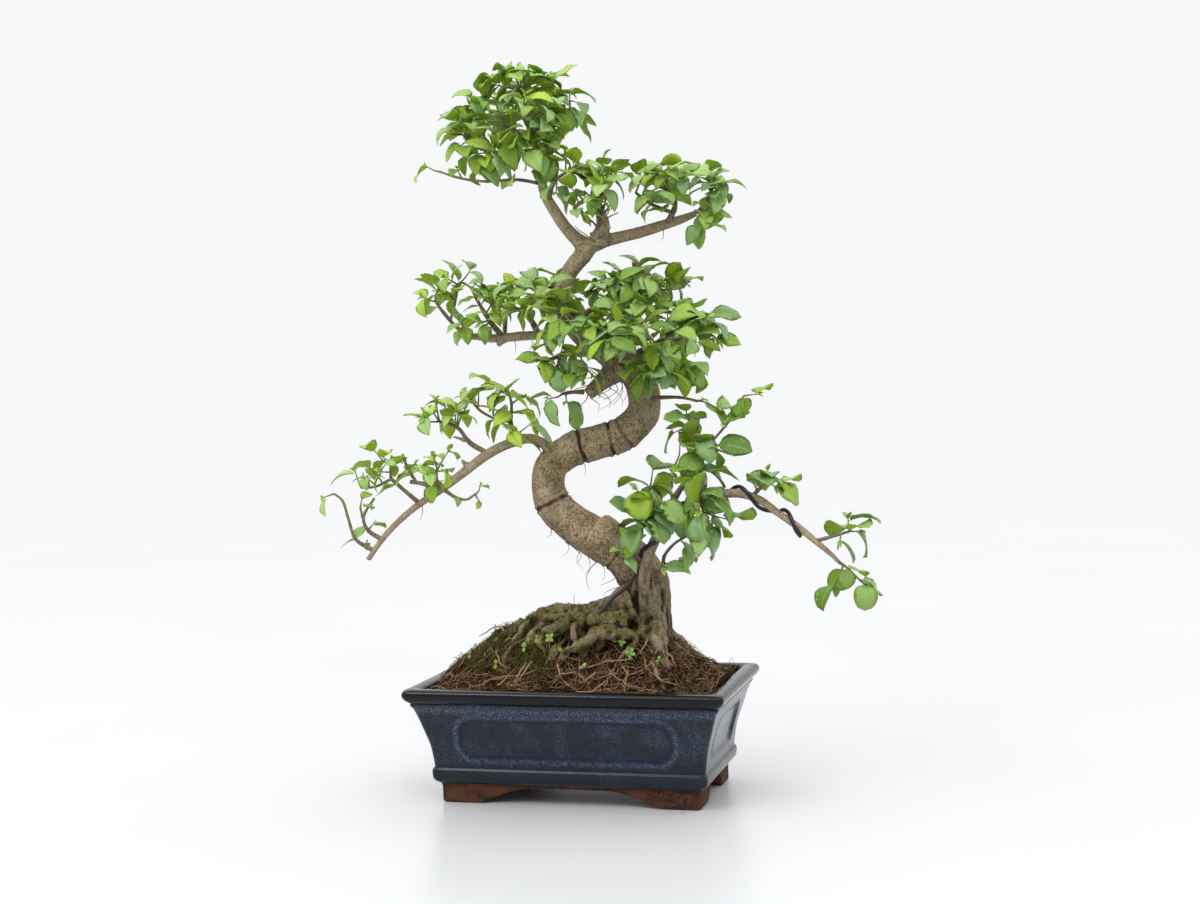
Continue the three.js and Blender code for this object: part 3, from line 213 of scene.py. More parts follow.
# Floor. A plain pale slab, honed smooth.
slab_look, tree, surface = shader("pale_slab", roughness=0.3)
feed(surface, {"Base Color": two_tone(
    tree, 400.0, (0.58, 0.585, 0.59), (0.64, 0.645, 0.65), 4.0)})
FLOOR_HALF = 14.0
floor_mesh = bpy.data.meshes.new("floor")
floor_mesh.from_pydata(
    [(x * FLOOR_HALF, y * FLOOR_HALF, 0.0) for x, y in ((-1, -1), (1, -1), (1, 1), (-1, 1))],
    [],
    [(0, 1, 2, 3)],
)
floor_mesh.materials.append(slab_look)
floor = bpy.data.objects.new("floor", floor_mesh)
bpy.context.collection.objects.link(floor)
floor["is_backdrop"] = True


# Pot. Pressed stoneware in one piece: flared walls with a sunk panel on each side, a rolled rim and
# a foot ring cut into four bracket feet. It is dipped in a dark blue glaze that breaks to lighter
# specks, pools in the corners and stops short of the bare terracotta feet. Along the panels' inner
# edges and the crease above the foot, the pooled glaze's deeper blue is partly painted shade.
def smooth_line(points, steps):
    """Rows on a Catmull-Rom spline of tension 0.5, with a number of steps to each span."""
    points = np.asarray(points, float)
    spans = len(points) - 1
    ends = np.vstack([2 * points[0] - points[1], points, 2 * points[-1] - points[-2]])
    at = np.arange(spans * steps + 1) / steps
    span = np.minimum(at.astype(int), spans - 1)
    t = (at - span)[:, None]
    start, stop = ends[span + 1], ends[span + 2]
    leave = (ends[span + 2] - ends[span]) / 2
    reach = (ends[span + 3] - ends[span + 1]) / 2
    return (
        (2 * t**3 - 3 * t**2 + 1) * start
        + (t**3 - 2 * t**2 + t) * leave
        + (3 * t**2 - 2 * t**3) * stop
        + (t**3 - t**2) * reach
    )


def lengths_of(vectors):
    """The length of each vector in an array."""
    return np.linalg.norm(vectors, axis=-1)


def step_up(value, low, high):
    """0 below low and 1 above high, along 3t^2 - 2t^3 between them."""
    t = np.clip((value - low) / (high - low), 0, 1)
    return t * t * (3 - 2 * t)


def bell(value, middle, width):
    """exp(-((value - middle) / width)^2)."""
    return np.exp(-(((value - middle) / width) ** 2))


def lumps(points, size, seed):
    """Smooth random values from -1 to 1 at points (..., 3).

    Random numbers stand on a cubic lattice of that size, and 3t^2 - 2t^3 blends its 8 corners.
    """
    table = np.random.default_rng(seed).uniform(-1, 1, 4096)
    cell = np.floor(points / size).astype(np.int64)
    t = step_up(points / size - cell, 0.0, 1.0)
    value = 0.0
    for corner in itertools.product((0, 1), repeat=3):
        x, y, z = np.moveaxis(cell + corner, -1, 0)
        key = (x * 73856093 ^ y * 19349663 ^ z * 83492791) & 4095
        value = value + table[key] * np.prod(np.where(corner, t, 1 - t), axis=-1)
    return value


def shells(rings, look=0, **marks):
    """Closed skins over rings[n, s, k], point k of ring s of skin n, for finished().

    Each ring is joined to the next by quads, and the first and last are each closed by one face.
    Rings turn anticlockwise as seen from their last one's side. Marks are numbers for each point.
    """
    count, stations, sides = rings.shape[:3]
    at = np.arange(count * stations * sides).reshape(count, stations, sides)
    beside = np.roll(at, -1, axis=2)
    quads = np.stack([at[:, :-1], beside[:, :-1], beside[:, 1:], at[:, 1:]], axis=-1)
    caps = np.concatenate([at[:, 0, ::-1], at[:, -1]])
    shape = rings.shape[:3]
    marks = {name: np.broadcast_to(mark, shape).ravel() for name, mark in marks.items()}
    return rings.reshape(-1, 3), [quads.reshape(-1, 4), caps], look, marks


def finished(name, parts, looks):
    """One smooth object, in metres at the pot's place, from the points and faces of its parts."""
    points, corners, sizes, faces_look, marks, first = [], [], [], [], {}, 0
    for part_points, faces, look, part_marks in parts:
        for block in faces:
            corners.append((block + first).ravel())
            sizes.append(np.full(len(block), block.shape[1]))
            faces_look.append(np.full(len(block), look))
        for mark, values in part_marks.items():
            marks.setdefault(mark, []).append((first, values))
        points.append(part_points)
        first += len(part_points)
    corners, sizes = np.concatenate(corners), np.concatenate(sizes)
    mesh = bpy.data.meshes.new(name)
    mesh.vertices.add(first)
    mesh.vertices.foreach_set("co", (np.concatenate(points) / 1000 + pot_middle).ravel())
    mesh.loops.add(len(corners))
    mesh.loops.foreach_set("vertex_index", corners.astype(np.int32))
    mesh.polygons.add(len(sizes))
    starts = np.concatenate([[0], np.cumsum(sizes)[:-1]])
    mesh.polygons.foreach_set("loop_start", starts.astype(np.int32))
    mesh.polygons.foreach_set("material_index", np.concatenate(faces_look).astype(np.int32))
    mesh.update(calc_edges=True)
    mesh.shade_smooth()
    for mark, blocks in marks.items():
        values = np.zeros(first)
        for start, block in blocks:
            values[start : start + len(block)] = block
        mesh.attributes.new(mark, "FLOAT", "POINT").data.foreach_set("value", values)
    for look in looks:
        mesh.materials.append(look)
    piece = bpy.data.objects.new(name, mesh)
    bpy.context.collection.objects.link(piece)
    return piece


def mark_of(tree, name):
    """The values of a mesh's point attribute."""
    return put(tree, "ShaderNodeAttribute", {"attribute_name": name})["Fac"]


def laid_over(tint, *layers):
    """A colour under layers of others, each with its share."""
    for share, colour in layers:
        tint = blend(share, tint, rgb(*colour))
    return tint


def relief(surface, height, depth):
    """Bump from a height that stands for depth millimetres."""
    bump = put(surface.id_data, "ShaderNodeBump", Height=height, Distance=depth / 1000,
               Strength=1.0)
    feed(surface, {"Normal": bump["Normal"]})


RIM_HALF = np.array([125.0, 79.0])
CORNER = 5.0
BODY_BOTTOM = 15.0
# How far the wall stands in from the rim's outermost line, and the height above the foot's cut
# edge: from the underside down the foot ring's inside, up its outside, then the wall and the rim.
FOOT_PROFILE = [
    (32.0, 15.0), (32.0, 9.0), (32.0, 2.0), (31.4, 0.5), (30.2, 0.0), (25.2, 0.0), (23.7, 0.5),
    (23.0, 2.0), (22.9, 8.0), (22.9, 14.2),
]
WALL_PROFILE = [
    (22.0, 15.0), (19.6, 16.4), (17.6, 19.0), (17.0, 22.5), (17.1, 25.8), (18.3, 27.6),
    (18.5, 29.5), (17.8, 35.0), (16.4, 44.0), (14.2, 52.0), (11.4, 61.0), (8.3, 70.5), (6.6, 74.6),
    (5.2, 76.6), (4.8, 77.6), (5.2, 78.6), (3.4, 80.0), (1.3, 82.2), (0.1, 85.0), (0.5, 87.6),
    (2.2, 89.4), (5.0, 90.0), (8.2, 89.9), (11.0, 89.3), (12.8, 87.6), (13.4, 84.0), (15.7, 71.0),
    (21.5, 52.0), (27.0, 23.0),
]
PANEL_MIDDLE, PANEL_HALF_HEIGHT, PANEL_CORNER, PANEL_DEPTH = 51.0, 16.0, 13.0, 1.4
PANEL_HALF_WIDTH = {"front": 84.0, "side": 42.0}
ARCHES = {"front": ((71, 0), (59, 4.4), (44, 11.9), (30, 12.5)),
          "side": ((30, 0), (18, 4.4), (26, 11.9), (12, 12.5))}


def outline(half, corner, long_steps, short_steps, corner_steps):
    """Points [row, column, xy] round rounded rectangles, one for each row of half sizes.

    A corner's point is its centre plus the corner's radius along a normal, which turns evenly. A
    side's point lies between two corners' centres, out along the side's own normal.
    """
    signs = np.array([[1, 1], [-1, 1], [-1, -1], [1, -1]])
    start, stop, share, turn = [], [], [], []
    for i, steps in enumerate((long_steps, short_steps, long_steps, short_steps)):
        start += [signs[i]] * (corner_steps + steps)
        stop += [signs[i]] * corner_steps + [signs[(i + 1) % 4]] * steps
        share += [0.0] * corner_steps + list((np.arange(steps) + 0.5) / steps)
        turn += list(i + np.arange(corner_steps) / (corner_steps - 1)) + [i + 1.0] * steps
    share, turn = np.array(share)[:, None], np.array(turn) * np.pi / 2
    normal = np.stack([np.cos(turn), np.sin(turn)], axis=-1)
    centre = np.array(start) * (1 - share) + np.array(stop) * share
    return centre * (half[:, None] - corner) + normal * corner, normal


def panel_edge(along, height, half_width):
    """Signed distance to a panel's rounded outline: negative inside it."""
    out = np.stack([
        np.abs(along) - (half_width - PANEL_CORNER),
        np.abs(height - PANEL_MIDDLE) - (PANEL_HALF_HEIGHT - PANEL_CORNER),
    ])
    return np.hypot(*np.maximum(out, 0)) + np.minimum(out.max(axis=0), 0) - PANEL_CORNER


def arch_height(along, curve):
    """The foot ring's cut edge: a cubic Bezier from the ground to the arch's flat top."""
    t = np.linspace(0, 1, 40)[:, None]
    a, b, c, d = (np.array(point, float) for point in curve)
    x, z = (a * (1 - t) ** 3 + 3 * b * (1 - t) ** 2 * t + 3 * c * (1 - t) * t**2 + d * t**3).T
    return np.interp(np.abs(along), x[::-1], z[::-1])


profile = np.vstack([smooth_line(FOOT_PROFILE, 3)[:-1], smooth_line(WALL_PROFILE, 4)])
inset, nominal = profile.T
around, normal = outline(RIM_HALF - inset[:, None], CORNER, 150, 88, 9)
on_front = np.abs(normal[:, 1]) > 0.999
on_side = np.abs(normal[:, 0]) > 0.999
arch = np.where(on_front, arch_height(around[..., 0], ARCHES["front"]), 0.0)
arch = np.where(on_side, arch_height(around[..., 1], ARCHES["side"]), arch)
rise = nominal[:, None]
foot_height = arch + rise * (BODY_BOTTOM - arch) / BODY_BOTTOM
height = np.where(rise < BODY_BOTTOM, foot_height, rise)
edge = np.where(on_front, panel_edge(around[..., 0], height, PANEL_HALF_WIDTH["front"]), 40.0)
edge = np.where(on_side, panel_edge(around[..., 1], height, PANEL_HALF_WIDTH["side"]), edge)
ROWS_INSIDE, PANELS_FROM = 24, 29.0
outside = (np.arange(len(profile)) < len(profile) - ROWS_INSIDE)[:, None] & (rise > PANELS_FROM)
sunk = PANEL_DEPTH * (1 - step_up(edge, -1.6, 0.2)) - 0.45 * bell(edge, 1.2, 1.1)
sunk = np.where(outside, sunk, 0.0)
pot_points = np.concatenate([around - normal * sunk[..., None], height[..., None]], axis=-1)
hand_made = 0.22 * lumps(pot_points, 34.0, 3) + 0.06 * lumps(pot_points, 6.0, 4)
pot_points[..., :2] -= normal * (np.where(rise > 3, hand_made, 0.0) + 0.2)[..., None]

pot_look, tree, surface = shader("dark_blue_glaze", ior=1.5, specular_ior_level=0.27)
metres_up = put(tree, "ShaderNodeTexCoord")["Object"]
metres_up = put(tree, "ShaderNodeSeparateXYZ", Vector=metres_up)["Z"]
on_rim = between(metres_up, 0.0775, 0.0815)
# Specks of lighter glaze, thick on the lips and in patches, and thinner low on the wall.
patches = plus(times(between(noise(tree, 22.0, 5.0), 0.40, 0.72), 0.42), 0.10)
low_down = put(tree, "ShaderNodeMapRange", Value=metres_up, From_Min=0.018, From_Max=0.045,
               To_Min=0.25, To_Max=1.0)[0]
specks = between(noise(tree, 1.7, 2.0, rough=0.7), 0.46, 0.66)
fine_specks = between(noise(tree, 0.8, 1.0), 0.46, 0.64)
specked = times(math("MAXIMUM", specks, fine_specks),
                times(math("MAXIMUM", mark_of(tree, "lip"), patches), low_down))
# Over the base tint: lighter specks, the pooled glaze darkened with painted shade, and the
# near-black rim.
glaze = laid_over(
    two_tone(tree, 60.0, (0.0030, 0.0045, 0.008), (0.007, 0.010, 0.018)),
    (specked, (0.085, 0.120, 0.195)), (times(mark_of(tree, "pool"), 0.85), (0.002, 0.006, 0.026)),
    (on_rim, (0.0015, 0.0020, 0.0035)),
)
bare = between(less(metres_up, times(noise(tree, 18.0), 0.003)), 0.0145, 0.0137)
damp = times(between(noise(tree, 17.0, 4.0), 0.42, 0.58), between(noise(tree, 3.0), 0.36, 0.6))
clay = laid_over(
    two_tone(tree, 9.0, (0.030, 0.011, 0.006), (0.135, 0.046, 0.023), 5.0),
    (damp, (0.016, 0.013, 0.006)),
)
gloss = put(tree, "ShaderNodeMapRange", Value=specked, To_Min=0.13, To_Max=0.3)[0]
gloss = times(gloss, less(1.0, times(on_rim, 0.65)))
feed(surface, {"Base Color": blend(bare, glaze, clay),
               "Roughness": math("MAXIMUM", gloss, times(bare, 0.85))})
relief(surface, plus(times(noise(tree, 7.0), 0.35),
                     times(noise(tree, 1.3, 2.0), plus(times(bare, 0.6), 0.12))), 0.5)

lip = np.where(outside, bell(edge, 1.6, 2.6), 0.0)
lip = np.maximum(lip, bell(height, 74.0, 3.5) * (rise > 60) * 0.9)
# Pooled glaze with painted shade: inside each panel's outline and in the crease above the foot.
pool = np.where(outside, bell(edge, -1.6, 1.3), 0.0)
pool = np.maximum(pool, bell(height, 28.0, 1.6))
pot = finished("pot_glazed", [shells(pot_points[None], lip=lip, pool=pool)], [pot_look])
DRAIN_RADIUS, DRAIN_FROM, DRAIN_TO = 9, 10.0, 28.0
for x in (-52.0, 52.0):
    turn = np.linspace(0, 2 * np.pi, 33)[:-1]
    ring = np.stack([x + DRAIN_RADIUS * np.cos(turn), DRAIN_RADIUS * np.sin(turn), 0 * turn], -1)
    cutter = np.stack([ring + (0, 0, DRAIN_FROM), ring + (0, 0, DRAIN_TO)])
    drain = finished("drain", [shells(cutter[None])], [])
    hole = pot.modifiers.new("drain", "BOOLEAN")
    hole.object, hole.operation, hole.solver = drain, "DIFFERENCE", "EXACT"
    cut = bpy.data.meshes.new_from_object(pot.evaluated_get(bpy.context.evaluated_depsgraph_get()))
    pot.modifiers.remove(hole)
    pot.data = cut
    bpy.data.objects.remove(drain)
pot.data.set_sharp_from_angle(angle=np.radians(50))
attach(pot, "root")
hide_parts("pot")


# Drain screens. A square of black plastic mesh lies over each drain hole, under the soil.
screen_look, tree, surface = shader("black_mesh", roughness=0.6)
feed(surface, {"Base Color": two_tone(tree, 2.0, (0.012, 0.012, 0.012), (0.035, 0.033, 0.03))})
for side in ("left", "right"):
    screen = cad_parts[f"drain_screen_{side}"]
    screen.data.materials.clear()
    screen.data.materials.append(screen_look)


# Soil. Loose coir-based mix, level at the pot's wall and heaped against the trunk's foot, with
# the higher heap under the spread of roots. It fills the pot down to its floor.
SOIL_LEVEL = 84.5
SOIL_HALF = RIM_HALF - 13.8
# Each heap's middle in X and Y, its height, and its reach along X and Y.
HEAPS = [(-22, 6, 47, 79, 52), (30, 6, 36, 68, 52)]


def mounds(x, y):
    """The soil's height without its crumbs: the level, plus high * exp(-out^3) of a heap."""
    heaps = [
        high * np.exp(-(np.hypot((x - cx) / reach_x, (y - cy) / reach_y) ** 3))
        for cx, cy, high, reach_x, reach_y in HEAPS
    ]
    return SOIL_LEVEL + np.maximum(*heaps)


def soil_top(x, y):
    """The soil's height with its crumbs, which die out at the pot's wall."""
    flat = np.stack([x, y, np.zeros_like(x)], axis=-1)
    crumbs = 1.5 * lumps(flat, 9.0, 11) + 1.1 * lumps(flat, 4.2, 12) + 0.7 * lumps(flat, 2.1, 13)
    wall = np.minimum(SOIL_HALF[0] - np.abs(x), SOIL_HALF[1] - np.abs(y))
    return mounds(x, y) + crumbs * step_up(wall, 0.0, 9.0)


SOIL_WALL = [(19.6, 26.0), (11.0, 52.0), (3.5, 71.0), (0.6, 82.0), (0.0, 84.4)]
wall = np.array(SOIL_WALL)
shares = np.concatenate([np.linspace(1, 0.75, 26)[1:], np.linspace(0.75, 0.01, 60)[1:]])
side_rings, _ = outline(SOIL_HALF - wall[:, :1], 6.0, 110, 70, 4)
side_rings = np.concatenate(
    [side_rings, np.broadcast_to(wall[:, 1:, None], side_rings[..., :1].shape)], axis=-1
)
top_rings = side_rings[-1][None] * shares[:, None, None]
top_rings[..., 2] = soil_top(top_rings[..., 0], top_rings[..., 1])
soil_points = np.concatenate([side_rings, top_rings])


def moss_share(points):
    """Where moss grows: on the left heap and round the roots, in patches."""
    left = step_up(-points[..., 0], -4.0, 34.0) * step_up(points[..., 2], 92.0, 104.0)
    left = left * step_up(-points[..., 0], 112.0, 96.0)
    patches = lumps(points, 17.0, 21) + 0.6 * lumps(points, 6.0, 22)
    return np.clip(left * step_up(patches, -0.55, 0.25), 0, 1)


# The mottled tint of anything earthy: two colours in grains of two sizes, with moss laid over it.
def earthy_group():
    """A shader group: Dark and Light mixed by grains, and Moss, with painted shade, tinted over
    them by its share.
    """
    tree = bpy.data.node_groups.new("mottled_tint", "ShaderNodeTree")
    for way, kind, names in (
        ("INPUT", "Color", ("Dark", "Light", "Moss Tint")), ("INPUT", "Float", ("Grain", "Moss")),
        ("OUTPUT", "Color", ("Color",)), ("OUTPUT", "Float", ("Height",)),
    ):
        for name in names:
            tree.interface.new_socket(name, in_out=way, socket_type=f"NodeSocket{kind}")
    given = tree.nodes.new("NodeGroupInput").outputs
    where = put(tree, "ShaderNodeTexCoord")["Object"]
    fine = put(tree, "ShaderNodeTexNoise", Vector=where, Scale=given["Grain"], Detail=4.0,
               Roughness=0.65)["Fac"]
    coarse = put(tree, "ShaderNodeTexNoise", Vector=where, Scale=times(given["Grain"], 0.13),
                 Detail=3.0)["Fac"]
    mixed = plus(times(fine, 0.65), times(coarse, 0.35))
    tint = blend(between(mixed, 0.38, 0.62), given["Dark"], given["Light"])
    # Moss goes from painted shade, near black, to its own tint with the fine grain.
    moss_in_painted_shade = blend(between(fine, 0.34, 0.62), rgb(0.012, 0.014, 0.003), given["Moss Tint"])
    moss = times(given["Moss"], between(fine, 0.3, 0.46))
    put(tree, "NodeGroupOutput", Color=blend(moss, tint, moss_in_painted_shade), Height=fine)
    return tree


mottled_tint = earthy_group()


def mottled(tree, dark, light, grain, moss, moss_tint=(0.075, 0.085, 0.016)):
    """The mottled tint placed in a material, with its grain in millimetres."""
    group = put(tree, "ShaderNodeGroup", {"node_tree": mottled_tint}, Dark=rgb(*dark),
                Light=rgb(*light), Moss_Tint=rgb(*moss_tint), Grain=1000.0 / grain, Moss=moss)
    return group["Color"], group["Height"]


soil_look, tree, surface = shader("coir_mix", roughness=0.95, specular_ior_level=0.05)
tint, grains = mottled(tree, (0.004, 0.0025, 0.0015), (0.040, 0.020, 0.010), 2.4,
                       mark_of(tree, "moss"), (0.035, 0.034, 0.009))
feed(surface, {"Base Color": tint})
relief(surface, grains, 1.6)
soil = finished("soil_mix", [shells(soil_points[None], moss=moss_share(soil_points))], [soil_look])
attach(soil, "root")
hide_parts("soil")


# Wood. The trunk, limbs, pruned stubs and surface roots have grown as one piece. The trunk was
# bent into its S when young, and ring scars show where old wire bit into the bark.
TRUNK = [
    (49, 8, 96, 19), (50, 8, 118, 20), (50, 8, 145, 19), (47, 7, 166, 18.5), (32, 3, 186, 17),
    (13, -2, 198, 16), (-5, -5, 210, 15), (-19, -8, 224, 14), (-24, -8, 240, 13),
    (-21, -5, 256, 13), (-5, 0, 268, 13.5), (14, 5, 273, 13.5), (34, 9, 279, 13.5),
    (49, 12, 295, 13), (49, 12, 315, 12.5), (39, 9, 331, 11), (20, 3, 344, 9.5), (2, -2, 361, 8.5),
    (-8, -3, 381, 7.5), (-4, -2, 402, 7), (8, 0, 418, 7), (15, 1, 428, 7),
]
LIMBS = {
    "apex": [(13, 0, 420, 6), (-4, -1, 438, 5), (-13, -3, 452, 4.6), (-20, -4, 465, 4.2),
        (-23, -4, 477, 3.7)],
    "right": [(15, 1, 427, 6), (28, 5, 429, 5), (47, 10, 433, 4.6), (66, 14, 438, 4.2),
        (83, 17, 443, 3.4), (94, 19, 447, 2.6)],
    "low_left": [(-14, -6, 258, 6), (-22, -11, 270, 4.6), (-35, -15, 277, 4), (-52, -19, 273, 4),
        (-68, -23, 265, 4), (-87, -28, 251, 3.6), (-103, -33, 239, 3.1), (-120, -37, 228, 2.8),
        (-136, -41, 215, 2.6), (-149, -44, 201, 2.4), (-160, -46, 186, 2)],
    "mid_left": [(-4, -2, 364, 5), (-24, 5, 358, 4), (-50, 14, 357, 3.8), (-72, 20, 356, 3.6),
        (-88, 25, 358, 3), (-96, 27, 358, 2.4)],
    "wired": [(53, -6, 148, 5), (53, -14, 167, 4.2), (58, -20, 186, 4.2), (71, -27, 207, 4.2),
        (89, -33, 221, 3.9), (109, -38, 231, 3.6), (129, -43, 235, 3.4), (148, -47, 231, 3.2),
        (163, -50, 221, 3), (178, -53, 211, 2.7), (192, -56, 200, 2.4), (204, -58, 190, 1.9),
        (208, -59, 186, 1.6)],
    "pruned_stub": [(16, -4, 202, 12), (33, -8, 196, 10), (46, -10, 193, 8.5)],
    "crown_stump": [(20, 1, 426, 6), (25, -2, 439, 5.2), (24, -4, 449, 4.2)],
    "hanging_stub": [(32, 6, 330, 8), (20, 0, 319, 6.5), (10, -5, 310, 5)],
    "mid_knot": [(-64, 18, 356, 3), (-69, 16, 350, 2)],
    "left_knot": [(-81, -26, 255, 2.6), (-86, -30, 262, 1.6)],
    "left_spur": [(-84, -25, 277, 1.8), (-95, -24, 280, 1)],
}
ROOTS = [
    [(40, -4, 149, 12), (25, -8, 144, 9), (6, -8, 140, 7.5), (-18, -4, 140, 7.5),
    (-36, 0, 135, 6.5), (-51, 2, 125, 5), (-63, 2, 113, 4), (-71, 0, 100, 3.5)], [(20, -12, 142, 6),
    (9, -20, 137, 5.5), (4, -26, 127, 5), (7, -28, 113, 4.5)], [(56, -8, 123, 6),
    (41, -22, 126, 4.5), (23, -32, 129, 5.5), (11, -36, 122, 4), (-5, -36, 113, 3)],
    [(0, -10, 135, 5), (-18, -20, 130, 5), (-31, -26, 122, 4.5), (-39, -28, 109, 4)],
    [(38, -10, 137, 5.5), (25, -20, 132, 4.2), (18, -24, 120, 3.5)], [(53, 18, 130, 9),
    (59, 34, 111, 5.5), (65, 42, 93, 4)], [(38, 18, 143, 10), (8, 36, 127, 6.5),
    (-22, 46, 108, 4.5), (-38, 50, 94, 3.5)], [(55, -6, 127, 8), (65, -16, 116, 5),
    (71, -24, 102, 3)],
]
# Thinner roots that weave over the heaps between the main ones.
FINE_ROOTS = [
    [(30, -14, 140, 3), (16, -24, 133, 2.6), (-4, -27, 131, 2.4), (-24, -30, 119, 1.8)],
    [(-8, -14, 138, 3), (-26, -12, 137, 2.8), (-44, -8, 129, 2.4), (-58, -10, 112, 1.8)],
    [(-30, -6, 138, 2.6), (-42, -16, 126, 2.4), (-50, -26, 110, 1.8)], [(50, -12, 130, 3),
    (46, -26, 119, 2.6), (38, -34, 109, 2)], [(-14, 2, 139, 3), (-30, 16, 128, 2.6),
    (-48, 24, 112, 2)], [(20, 24, 130, 3), (34, 38, 108, 2.6), (30, 48, 96, 2)], [(66, 4, 118, 3),
    (80, 8, 106, 2.4), (88, 14, 96, 1.8)], [(-2, -22, 128, 2.4), (-12, -34, 117, 2.2),
    (-20, -40, 105, 1.6)], [(44, -14, 141, 4), (31, -25, 140, 4.2), (19, -29, 139, 4),
    (7, -27, 139, 3.6), (-8, -16, 139, 3)], [(9, -28, 138, 3.6), (3, -31, 133, 3.3),
    (1, -31, 126, 3.2), (4, -30, 119, 2.6)], [(38, -18, 136, 3.6), (27, -26, 131, 3.6),
    (18, -24, 127, 3)], [(-4, -6, 134, 3.2), (-16, -16, 132, 3), (-28, -18, 131, 3),
    (-36, -24, 125, 2.8), (-37, -32, 117, 2)], [(-1, -24, 124, 2), (-13, -23, 127, 2.2),
    (-23, -26, 126, 2.4), (-28, -31, 121, 2.4), (-23, -35, 116, 1.8)], [(-46, -6, 133, 3),
    (-54, -12, 128, 2.6), (-64, -10, 123, 2), (-70, -18, 116, 1.4)], [(-30, -8, 140, 3),
    (-40, -14, 135, 3), (-46, -24, 124, 2.6), (-52, -34, 112, 1.8)], [(62, 0, 126, 3.4),
    (66, -14, 117, 2.8), (62, -30, 106, 2.2), (70, -42, 95, 1.6)], [(44, 20, 134, 4),
    (24, 34, 124, 3.4), (6, 36, 122, 2.8), (-8, 46, 108, 2)], [(58, 14, 128, 4), (76, 20, 112, 3),
    (88, 28, 98, 2)],
]


def tubes(paths, radii, sides, flutes=None):
    """Rings [n, s, k] round paths[n, s]: each point is the path's plus radius along a turning arm.

    The arm is carried from ring to ring and squared to the path, so that the tube doesn't twist.
    Flutes are a factor on the radius for each angle and ring.
    """
    ahead = np.concatenate([paths[:, 1:], paths[:, -1:]], axis=1)
    behind = np.concatenate([paths[:, :1], paths[:, :-1]], axis=1)
    tangent = ahead - behind
    tangent /= np.linalg.norm(tangent, axis=-1, keepdims=True)
    steep = np.abs(tangent[:, 0, 2:]) > 0.9
    arm = np.where(steep, [[1.0, 0.0, 0.0]], [[0.0, 0.0, 1.0]])
    arms = []
    for station in range(paths.shape[1]):
        axis = tangent[:, station]
        arm = arm - axis * (arm * axis).sum(axis=-1, keepdims=True)
        arm = arm / np.linalg.norm(arm, axis=-1, keepdims=True)
        arms.append(arm)
    arm = np.stack(arms, axis=1)[:, :, None]
    other = np.cross(tangent[:, :, None], arm)
    turn = np.linspace(0, 2 * np.pi, sides + 1)[:-1][:, None]
    reach = np.asarray(radii)[..., None] * (1.0 if flutes is None else flutes)
    return paths[:, :, None] + reach[..., None] * (arm * np.cos(turn) + other * np.sin(turn))


def rooted(points):
    """A root's points with one more, which takes its tapered end down into the soil."""
    last, before = np.array(points[-1], float), np.array(points[-2], float)
    dive = last + 0.7 * (last - before)
    return [*points, (dive[0], dive[1], last[2] - 13.0, 0.4 * last[3])]


def limb(points, steps, sides):
    """One tube round a smooth line through points and radii, swollen into a collar at its base."""
    line = smooth_line(points, steps)
    away = lengths_of(line[:, :3] - line[0, :3])
    collar = 1 + 0.35 * bell(away, 0.0, 1.6 * line[0, 3])
    return tubes(line[None, :, :3], (line[:, 3] * collar)[None], sides)


TRUNK_STEPS, EVENING_PASSES, VOXEL_METRES = 6, 30, 0.00112
trunk_line = smooth_line(TRUNK, TRUNK_STEPS)
turn = np.linspace(0, 2 * np.pi, 25)[:-1]
ridges = 1 + 0.05 * np.cos(3 * turn + 0.02 * trunk_line[None, :, 2:3])
wood_parts = [shells(tubes(trunk_line[None, :, :3], trunk_line[None, :, 3], 24, ridges))]
wood_parts += [shells(limb(points, 5, 14)) for points in LIMBS.values()]
wood_parts += [shells(limb(rooted(points), 5, 12)) for points in ROOTS + FINE_ROOTS]
wood = finished("bark_and_wood", wood_parts, [])
grown = wood.modifiers.new("grown_together", "REMESH")
grown.mode, grown.voxel_size, grown.use_smooth_shade = "VOXEL", VOXEL_METRES, True
soften = wood.modifiers.new("soften", "SMOOTH")
soften.factor, soften.iterations = 0.5, 2
joined = bpy.data.meshes.new_from_object(wood.evaluated_get(bpy.context.evaluated_depsgraph_get()))
wood.modifiers.clear()
wood.data = joined
count = len(joined.vertices)
flat, facing = np.empty(count * 3), np.empty(count * 3)
joined.vertices.foreach_get("co", flat)
joined.vertex_normals.foreach_get("vector", facing)
skin, facing = (flat.reshape(-1, 3) - pot_middle) * 1000, facing.reshape(-1, 3)

# Ring scars: a place on the trunk's line, counted in its points, and how strong the scar is.
SCARS = [(7.15, 1.0), (10.3, 1.0), (11.55, 1.0), (11.95, 0.6), (4.1, 0.8), (9.1, 0.25)]
scar = np.zeros(count)
bitten = np.zeros(count)
for place, strength in SCARS:
    row = int(round(place * TRUNK_STEPS))
    at = trunk_line[row]
    ahead = trunk_line[row + 1, :3] - trunk_line[row - 1, :3]
    ahead /= np.linalg.norm(ahead)
    offset = skin - at[:3]
    along = offset @ ahead + 1.3 * lumps(skin, 9.0, 31)
    near = step_up(lengths_of(offset), at[3] + 9.0, at[3] + 5.0) * strength
    broken = step_up(lumps(skin, 7.0, 32), -0.9, 0.1)
    scar = np.maximum(scar, near * np.exp(-((along / 1.7) ** 4)) * broken)
    bitten += near * (0.7 * bell(np.abs(along), 2.2, 1.5) - 0.9 * bell(along, 0.0, 1.0))
old = step_up(skin[:, 2], 190.0, 150.0)
grain = lumps(skin * (0.8, 0.8, 0.45), 2.0, 40)
furrows = lumps(skin * (1, 1, 0.3), 5.0, 33) + 0.6 * lumps(skin * (1, 1, 0.4), 2.6, 34)
pits = step_up(lumps(skin, 2.4, 35), 0.25, 0.75)
knots = 0.55 * lumps(skin, 13.0, 36) + 0.28 * lumps(skin, 5.0, 37)
